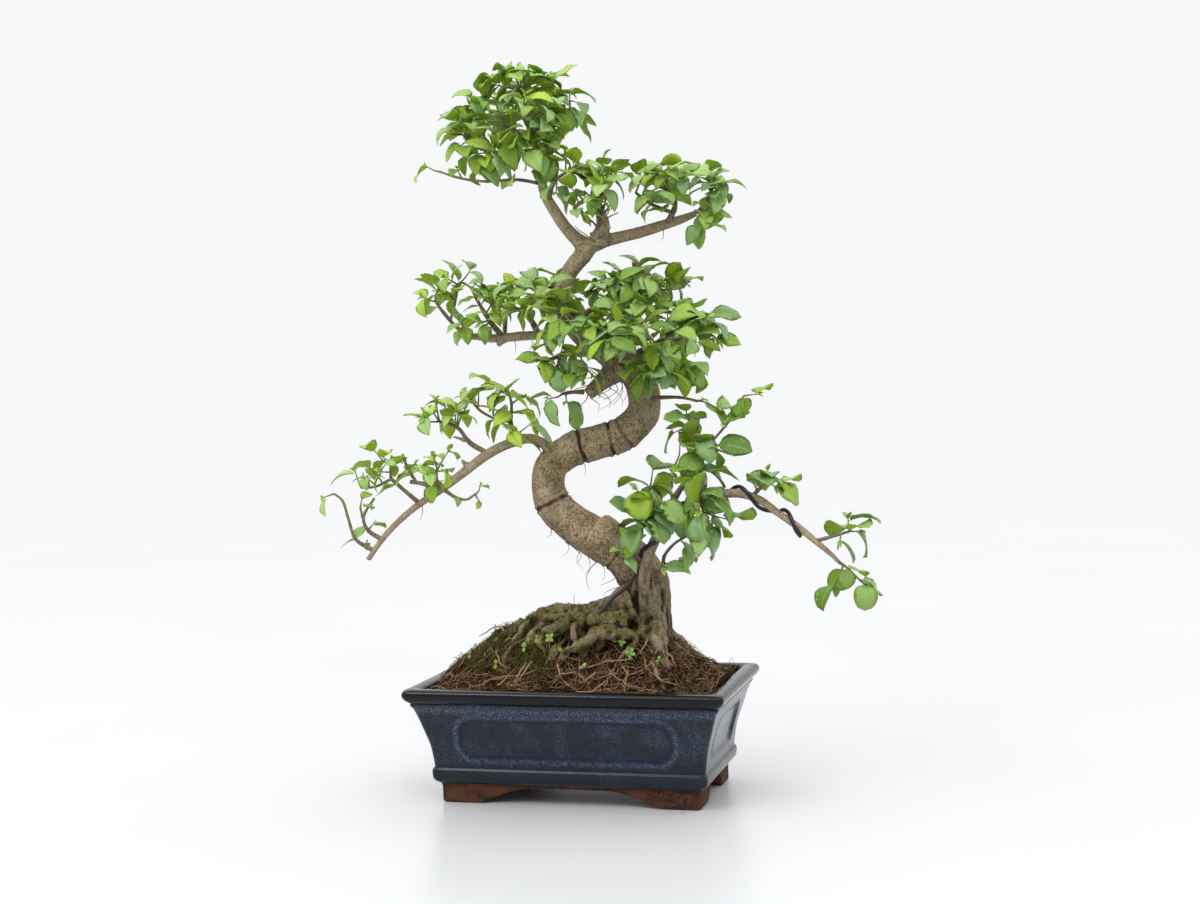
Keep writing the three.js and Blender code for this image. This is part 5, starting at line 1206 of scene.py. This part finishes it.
for name, (lines, kept, leaves) in grown.items():
    tips = np.array([tip for tip, _, _ in kept])
    wood_points = np.concatenate(lines)[:, :3]
    fill = of_spray(FILL, name)
    # Shoots between neighbouring tips, drawn back a little towards the wood.
    extra = []
    for i, (tip, start, size) in enumerate(kept):
        gaps = lengths_of(tips - tip)
        for j in np.argsort(gaps)[1:3]:
            if GAP_FROM < gaps[j] < GAP_TO and spread.random() < fill:
                spot = (tip + tips[j]) / 2 + spread.uniform(-3.5, 3.5, 3)
                spot = spot + (wood_points.mean(axis=0) - spot) * spread.uniform(0.02, 0.16)
                extra.append((spot, shoots_to(spot[None], wood_points)[0], size))
    for tip, start, size in extra:
        axis = unit(tip - start + (0, 0, 1e-3))
        pair = settle(tip, axis, size)
        if pair:
            kept.append((tip, start, size))
            leaves += [(leaf, spread.uniform(0.5, 1.2), spread.uniform(0.12, 0.32), size)
                       for leaf in pair]
    # Pairs back down each shoot, then along the outer part of each bough.
    spots = []
    for tip, start, size in kept:
        reach = np.linalg.norm(tip - start)
        axis = unit(tip - start + (0, 0, 1e-3))
        backs = np.arange(PAIR_STEP, reach, PAIR_STEP)
        spots += [(tip - axis * back, axis, size) for back in backs]
    usual = np.mean([size for *_, size in kept])
    for line in lines:
        thin = np.nonzero(line[1:-1, 3] < LEAFY_RADIUS)[0] + 1
        spots += [(line[k, :3], unit(line[k + 1, :3] - line[k - 1, :3]), usual) for k in thin]
    for spot, axis, size in spots:
        if spread.random() > fill:
            continue
        pair = settle(spot, axis, size * spread.uniform(0.85, 1.2), 7, TIGHT_CLEARANCE)
        leaves += [(leaf, spread.uniform(0.4, 1.3), spread.uniform(0.1, 0.3), size)
                   for leaf in pair]

twig_look, tree, surface = shader("twig_bark", roughness=0.75)
tint, grains = mottled(tree, (0.085, 0.058, 0.034), (0.25, 0.19, 0.125), 1.6, mark_of(tree, "moss"))
green_bark = two_tone(tree, 6.0, (0.15, 0.14, 0.045), (0.20, 0.235, 0.06))
feed(surface, {"Base Color": blend(mark_of(tree, "age"), tint, green_bark)})
relief(surface, grains, 0.35)

leaf_look, tree, surface = shader(
    "leaf", roughness=0.42, subsurface_weight=0.12, subsurface_scale=0.001,
    subsurface_radius=(0.5, 0.9, 0.25), ior=1.45, specular_ior_level=0.28)
mark = {name: mark_of(tree, name)
        for name in ("across", "along", "face", "age", "tone", "bloom", "yellow")}
out = math("ABSOLUTE", mark["across"])
# Side veins: stripes of the place along the leaf, swept towards its tip with the place across it.
stripe = math("SINE", less(times(mark["along"], 46.0), times(out, 9.0)))
side_vein = times(between(stripe, 0.82, 0.98), between(out, 0.95, 0.5))
vein = math("MAXIMUM", between(out, 0.10, 0.03), times(side_vein, 0.45))
old_green = blend(mark["tone"], rgb(0.060, 0.145, 0.007), rgb(0.240, 0.395, 0.016))
young_green = blend(mark["tone"], rgb(0.270, 0.450, 0.026), rgb(0.500, 0.670, 0.065))
under = between(mark["face"], 0.0, -0.6)
# Painted sheen: upper faces pale towards a bluish green, by each leaf's share and in patches.
patch = plus(times(between(noise(tree, 9.0), 0.4, 0.68), 0.40), 0.50)
bloom = times(times(mark["bloom"], less(1.0, under)), patch)
# The undersides' paler yellow-green is partly their own colour, partly painted light shining
# through.
green = laid_over(
    blend(mark["age"], old_green, young_green),
    (bloom, (0.30, 0.48, 0.24)), (times(vein, 0.45), (0.36, 0.46, 0.11)),
    (times(under, 0.5), (0.36, 0.50, 0.030)),
    (between(mark["yellow"], 0.4, 0.6), (0.60, 0.60, 0.030)),
)
dullness = put(tree, "ShaderNodeMapRange", Value=under, To_Min=0.38, To_Max=0.62)[0]
feed(surface, {"Base Color": green, "Roughness": dullness})
relief(surface, less(times(noise(tree, 2.5), 0.35), vein), 0.28)


def column(values):
    """One value for each leaf, for all its points."""
    return values[:, None, None]


for name, (lines, kept, leaves) in grown.items():
    parts = []
    spray_age = of_spray(AGE, name)
    stem, boughs, _ = SPRAYS[name]
    for points in (stem, *boughs):
        fine = smooth_line(points, 4)
        knobs = 1 + 0.09 * np.sin(fine[:, 2] * 0.9 + fine[:, 0] * 0.7)
        young = step_up(fine[:, 3], 1.5, 0.9) * (0.35 + 0.5 * spray_age)
        parts.append(shells(tubes(fine[None, :, :3], (fine[:, 3] * knobs)[None], 8),
                            0, age=young[None, :, None]))
    tips, starts, _ = (np.array(values) for values in zip(*kept))
    share = np.linspace(0, 1, 6)[None, :, None]
    sway = spread.normal(0, 1, (len(tips), 1, 3)) * 0.05
    reach = lengths_of(tips - starts)[:, None, None]
    paths = starts[:, None] * (1 - share) + tips[:, None] * share
    paths = paths + sway * reach * 4 * share * (1 - share)
    paths[:, -1] += (tips - starts) / reach[:, 0] * 1.5
    radii = SHOOT_RADIUS * (0.95 - 0.5 * share[..., 0]) + 0 * reach[..., 0]
    green_share = np.clip(0.3 + 0.5 * spray_age + 0.4 * share, 0, 1) + 0 * reach
    parts.append(shells(tubes(paths, radii, 5), 0, age=green_share))
    # Two small new leaves on each shoot's end.
    for tip, start, size in kept:
        axis = unit(tip - start + (0, 0, 1e-3))
        turn = spread.uniform(-1.5, 1.5)
        small = size * spread.uniform(0.2, 0.36)
        for hand in (1, -1):
            bud = leaf_at(tip + axis * 1.2, axis, turn, hand, small, 0.0)
            bud[3:6] = unit(bud[3:6] + 0.9 * axis)
            bud[6:9] = unit(bud[6:9] - bud[3:6] * (bud[6:9] @ bud[3:6]))
            leaves.append((bud, 0.3, 0.5, 0))
    table, droop, fold, sizes = (np.array(values) for values in zip(*leaves))
    count = len(table)
    draw = (droop * 0.75, droop * spread.uniform(-0.2, 1.3, count), fold,
            spread.uniform(0.04, 0.24, count), spread.uniform(0, 6.3, count),
            spread.normal(0, 0.34, count))
    broad = sizes > (BROAD_FROM_WIRED if name.startswith("wired") else BROAD_FROM)
    rings = np.clip(blades(table, broad, draw), room_low, room_high)
    leaf_age = np.clip(spray_age + spread.normal(0, 0.2, count) + 0.45 * (sizes == 0), 0, 1)
    yellow = (spread.random(count) < YELLOW_SHARE) * name.startswith(("crown_low", "mid_left"))
    # Each leaf gets a random share of painted sheen on its upper face.
    parts.append(shells(
        rings, 1, across=ACROSS, along=STATIONS[:, None], face=FACE, age=column(leaf_age),
        tone=column(spread.random(count)), yellow=column(yellow),
        bloom=column(spread.random(count) ** 0.9)))
    piece = finished(f"leaves_{name}", parts, [twig_look, leaf_look])
    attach(piece, "root")
    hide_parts(f"spray_{name}")


# Loose fibres. Strands of coir and dead roots lie criss-cross on the soil and stick out of it,
# tan to dark red-brown. They are the mix's own coarse part, left where it was tipped.
def strands(starts, headings, lengths, thickness, seed, lift, stations=8):
    """Rings of thin strands that follow the ground.

    A strand's heading turns by a random amount from station to station, and it tapers at both
    ends. Its height is the ground's plus 0.6 of its radius, plus a bow of lift * sin(pi s) times a
    random number, plus a tilt that grows with s^2, for the share s of its length.
    """
    draw = np.random.default_rng(seed)
    count = len(starts)
    turns = draw.normal(0, 1, (count, 1)) * 0.22 + draw.normal(0, 0.2, (count, stations - 1))
    heading = headings[:, None] + np.cumsum(turns, axis=1)
    pace = (lengths / (stations - 1))[:, None]
    steps = np.stack([np.cos(heading), np.sin(heading)], axis=-1) * pace[..., None]
    flat = np.concatenate([starts[:, None], starts[:, None] + np.cumsum(steps, axis=1)], axis=1)
    flat = np.clip(flat, -SOIL_HALF + 1.5, SOIL_HALF - 1.5)
    share = np.linspace(0, 1, stations)[None]
    bow = lift * draw.gamma(1.2, 1.0, (count, 1)) * np.sin(np.pi * share)
    tilt = np.minimum(draw.exponential(0.13, (count, 1)) * lengths[:, None], 6.0) * share**2
    z = soil_top(flat[..., 0], flat[..., 1]) + thickness[:, None] * 0.6 + bow + tilt
    paths = np.concatenate([flat, z[..., None]], axis=-1)
    radii = thickness[:, None] * (0.35 + 0.65 * np.sin(np.pi * np.clip(share, 0.04, 0.9)))
    return tubes(paths, radii, 3)


# Longer dead roots that lie down the front of the heaps.
STRANDS = [
    [(-60, -9, 120), (-64, -10, 127), (-68, -10, 129), (-75, -10, 125), (-83, -10, 122)],
    [(-63, -27, 113), (-60, -35, 109), (-57, -40, 105), (-47, -43, 103)], [(-31, -42, 107),
    (-34, -50, 99), (-39, -57, 94)], [(-34, -42, 106), (-38, -52, 98), (-46, -58, 92)],
    [(45, -43, 101), (46, -52, 95), (47, -62, 90)], [(40, -38, 104), (46, -48, 98), (45, -60, 91)],
    [(36, -36, 108), (33, -46, 100), (31, -58, 92)], [(21, -45, 100), (16, -52, 96), (11, -57, 93)],
    [(57, -16, 122), (54, -22, 117), (52, -26, 113)], [(54, -27, 110), (58, -36, 103),
    (65, -40, 99)], [(65, -40, 99), (73, -44, 95), (84, -46, 92)], [(70, -19, 111), (75, -20, 109),
    (80, -27, 102)], [(30, -40, 104), (40, -50, 96), (58, -58, 91)], [(-70, -20, 112),
    (-80, -34, 98), (-88, -42, 91)], [(-10, -42, 106), (-4, -52, 96), (8, -60, 90)], [(60, 30, 106),
    (50, 44, 98), (42, 58, 90)], [(-30, 40, 106), (-40, 50, 96), (-56, 58, 89)], [(10, 40, 110),
    (2, 52, 98), (-4, 62, 89)],
]
scatter = np.random.default_rng(41)


def on_soil(count, low=(-1.0, -1.0), high=(1.0, 1.0)):
    """Random places on the soil, as shares of its half length and half width."""
    return scatter.uniform(low, high, (count, 2)) * (SOIL_HALF - 2)


fibre_look, tree, surface = shader("coir_fibre", roughness=0.8, specular_ior_level=0.1)
feed(surface, {"Base Color": laid_over(
    blend(mark_of(tree, "tone"), rgb(0.014, 0.006, 0.003), rgb(0.50, 0.310, 0.165)),
    (times(mark_of(tree, "moss"), 0.75), (0.075, 0.075, 0.018)),
    (times(noise(tree, 3.0), 0.5), (0.05, 0.022, 0.010)),
)})
# Each grade's number of fibres, their lengths and radii, their seed, brightness and arch.
GRADES = [
    (3150, (4, 13), (0.13, 0.30), 42, 0.22, 1.3), (1100, (10, 30), (0.16, 0.36), 43, 0.42, 1.3),
    (70, (20, 50), (0.4, 0.8), 44, 0.7, 0.8),
]
fibre_parts = []
for amount, long, thick, seed, bright, lift in GRADES:
    starts = on_soil(amount)
    rings = strands(starts, scatter.uniform(0, 2 * np.pi, amount), scatter.uniform(*long, amount),
                    scatter.uniform(*thick, amount), seed, lift)
    tone = np.clip(scatter.normal(bright, 0.40, amount), 0, 1)[:, None, None]
    fibre_parts.append(shells(rings, tone=tone, moss=moss_share(rings)))
for points in STRANDS:
    line = smooth_line(points, 6)[None]
    line = line + 1.3 * np.stack([lumps(line, 6.0, 48 + k) for k in range(3)], axis=-1)
    line[..., 2] = np.maximum(line[..., 2], soil_top(line[..., 0], line[..., 1]) + 0.6)
    thin = np.linspace(0.95, 0.35, line.shape[1])[None]
    fibre_parts.append(shells(tubes(line, thin, 6), tone=0.85))
fibres = finished("coir_fibres", fibre_parts, [fibre_look])
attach(fibres, "root")


# Moss. Short upright shoots grow in cushions on the left heap and along the tops of the roots.
def unit_rows(vectors):
    """Each row at length 1."""
    return vectors / np.linalg.norm(vectors, axis=-1, keepdims=True)


def tufts(points, facing, tall, seed):
    """Rings of small pointed moss shoots: each leans off its ground's normal by a random amount."""
    draw = np.random.default_rng(seed)
    lean = unit_rows(facing + draw.normal(0, 0.55, points.shape) + (0, 0, 0.3))
    height = draw.uniform(*tall, len(points))
    share = np.array([-0.15, 0.45, 1.0])
    curve = draw.normal(0, 0.3, points.shape)
    paths = points[:, None] + (lean[:, None] * share[:, None] + curve[:, None] * (
        share**2)[:, None]) * height[:, None, None]
    return tubes(paths, height[:, None] * 0.17 * np.array([0.9, 1.0, 0.12]), 3)


moss_look, tree, surface = shader("moss", roughness=0.85, specular_ior_level=0.1)
tint = blend(mark_of(tree, "tone"), rgb(0.022, 0.030, 0.006), rgb(0.13, 0.145, 0.022))
feed(surface, {"Base Color": blend(noise(tree, 8.0), tint, rgb(0.045, 0.042, 0.012))})
spots = on_soil(30000, (-1, -0.9), (0.35, 0.9))
ground = np.column_stack([spots, soil_top(*spots.T)])
ground = ground[moss_share(ground) > scatter.uniform(0.25, 1.6, len(ground))][:5200]
soil_moss = tufts(ground, np.array([[0.0, -0.15, 1.0]]) + 0 * ground, (1.4, 3.6), 45)
root_spots = np.nonzero(mossy > 0.45)[0]
root_spots = root_spots[scatter.random(len(root_spots)) < 4200 / max(len(root_spots), 1)]
root_moss = tufts(skin[root_spots], facing[root_spots], (0.7, 1.9), 46)
moss_parts = [
    shells(rings, tone=column(scatter.random(len(rings)))) for rings in (soil_moss, root_moss)
]
moss = finished("moss_cushions", moss_parts, [moss_look])
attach(moss, "root")


# Hair roots and dead twigs. Thin aerial roots hang under the trunk's bends, and bare dead twigs
# stand on the pruned stubs. Each is a start, an end, a sag and a radius.
HAIRS = [
    ((-22, -9, 208), (-24, -11, 200), 2, 0.35), ((-12, -8, 194), (-13, -12, 184), 3, 0.3),
    ((-4, -8, 188), (-3, -11, 177), 4, 0.35), ((-1, -9, 186), (2, -12, 172), -3, 0.25),
    ((6, -8, 182), (4, -12, 168), 3, 0.3), ((12, -6, 178), (7, -10, 157), -5, 0.4), ((14, -6, 176),
    (17, -11, 163), 3, 0.3), ((24, -6, 168), (12, -12, 160), 4, 0.35), ((26, -6, 164),
    (16, -14, 158), -3, 0.3), ((4, -6, 258), (6, -10, 247), 2, 0.3), ((30, 4, 318),
    (22, -6, 306), 5, 0.4), ((34, 4, 320), (30, -8, 302), 4, 0.35), ((38, 4, 318),
    (38, -6, 304), 3, 0.35), ((26, 2, 316), (14, -8, 309), 4, 0.4), ((18, 0, 312),
    (26, -8, 300), 4, 0.35), ((12, -2, 308), (18, -8, 297), 3, 0.35), ((34, 2, 324),
    (18, -4, 300), 6, 0.3), ((22, -2, 318), (36, -8, 301), 5, 0.3), ((33, 0, 396),
    (33, -1, 414), 0, 0.5), ((-49, -18, 276), (-53, -20, 300), 1, 0.5), ((-3, -22, 143),
    (-1, -24, 157), 1, 0.4), ((-58, -6, 122), (-62, -8, 132), 1, 0.4), ((24, -4, 449),
    (12, -10, 466), 2, 1.3), ((24, -5, 446), (38, -12, 460), 2, 1.2), ((24, -5, 440),
    (42, -14, 448), -2, 1.0), ((23, -5, 436), (8, -14, 452), 2, 1.1), ((25, -4, 449),
    (28, -10, 470), 2, 1.2), ((22, -5, 430), (34, -13, 438), 1, 0.6), ((20, -5, 428),
    (6, -12, 440), -1, 0.6), ((24, -5, 438), (20, -12, 455), 2, 0.6), ((26, 0, 326),
    (10, -12, 320), 3, 0.6), ((22, -4, 322), (2, -14, 314), 2, 0.6), ((14, -6, 314),
    (30, -14, 306), -2, 0.5), ((12, -6, 312), (2, -14, 300), 3, 0.5), ((30, 2, 330),
    (44, -10, 318), -3, 0.6), ((18, -4, 318), (14, -14, 330), 2, 0.6), ((24, 0, 324),
    (30, -14, 334), 2, 0.6), ((36, 2, 334), (22, -14, 338), 2, 0.6), ((-40, 14, 358),
    (-41, 10, 346), 1, 0.4), ((-57, 17, 356), (-55, 13, 345), 1, 0.35), ((68, 14, 438),
    (66, 12, 429), 1, 0.35), ((-118, -37, 228), (-120, -38, 217), 1, 0.4),
]
ends = np.array([(*a, *b) for a, b, _, _ in HAIRS], float)
# Each is moved so that its start is on the nearest bark.
nearest = [skin[np.argmin(lengths_of(skin - start))] for start in ends[:, :3]]
ends = ends + np.tile(np.array(nearest) - ends[:, :3], 2)
sag, thick = np.array([(s, r) for *_, s, r in HAIRS]).T
share = np.linspace(-0.04, 1, 9)[None, :, None]
hair_paths = ends[:, None, :3] * (1 - share) + ends[:, None, 3:] * share
bow = np.stack([sag, 0.4 * sag, 0 * sag], axis=-1)[:, None]
kinks = 0.5 * lumps(hair_paths, 4.0, 47)[..., None]
hair_paths = hair_paths + bow * 4 * share * (1 - share) + kinks
hair_radii = thick[:, None] * (1 - 0.6 * share[..., 0])
hair_look, tree, surface = shader("hair_root", roughness=0.85, specular_ior_level=0.1)
feed(surface, {"Base Color": two_tone(tree, 5.0, (0.08, 0.055, 0.03), (0.30, 0.23, 0.15))})
hairs = finished("hair_roots", [shells(tubes(hair_paths, hair_radii, 6))], [hair_look])
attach(hairs, "root")


# Seedlings. Tiny weeds with pale round seed leaves have come up in the soil and among the roots.
SEEDLINGS = [
    (34, -22, 5), (45, -29, 6), (43, -30, 4), (-38, -36, 5), (-30, -30, 5), (-20, -30, 6),
    (-7, -36, 4), (67, -30, 5), (-89, -18, 5), (37, -24, 7), (-60, -40, 4), (12, -44, 4),
    (60, 30, 5), (-50, 34, 5), (10, 52, 4),
]
STALK_RADIUS, SEED_LEAF_LENGTHS, TALL_FROM = 0.3, (3.2, 4.6), 6
still = np.array([0.2])
seedling_parts = []
for x, y, tall in SEEDLINGS:
    foot = np.array([x, y, soil_top(np.array([x * 1.0]), np.array([y * 1.0]))[0] + 0.5])
    crown = foot + (scatter.uniform(-1.5, 1.5), scatter.uniform(-2, 0), tall)
    share = np.linspace(0, 1, 5)[None, :, None]
    stalk = foot * (1 - share) + crown * share
    stalk = tubes(stalk, np.full((1, 5), STALK_RADIUS), 5)
    seedling_parts.append(shells(stalk, age=1.0, tone=0.6))
    first = scatter.uniform(0, np.pi)
    leaf_count = 2 if tall < TALL_FROM else 4
    for k in range(leaf_count):
        course = first + k * np.pi * 2 / leaf_count
        along = unit(np.array([np.cos(course), -0.35, np.sin(course)]))
        face_on = UP + (0.3, -1.3, 0)
        normal = unit(face_on - along * (face_on @ along))
        length = scatter.uniform(*SEED_LEAF_LENGTHS)
        leaf = np.concatenate([crown, along, normal, [length]])[None]
        rings = blades(leaf, np.array([True]), (still, still, still, still, still, 0 * still))
        # The seed leaves carry some painted sheen on their upper faces.
        seedling_parts.append(shells(rings, 1, across=ACROSS, along=STATIONS[:, None], face=FACE,
                                     age=0.45, tone=0.7, bloom=0.6))
seedlings = finished("seedlings", seedling_parts, [twig_look, leaf_look])
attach(seedlings, "root")


# Both boxes are kept, so that the dressed tree's size can be held against the solids'.
sizes = {"cad": cad_box, "visual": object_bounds()}
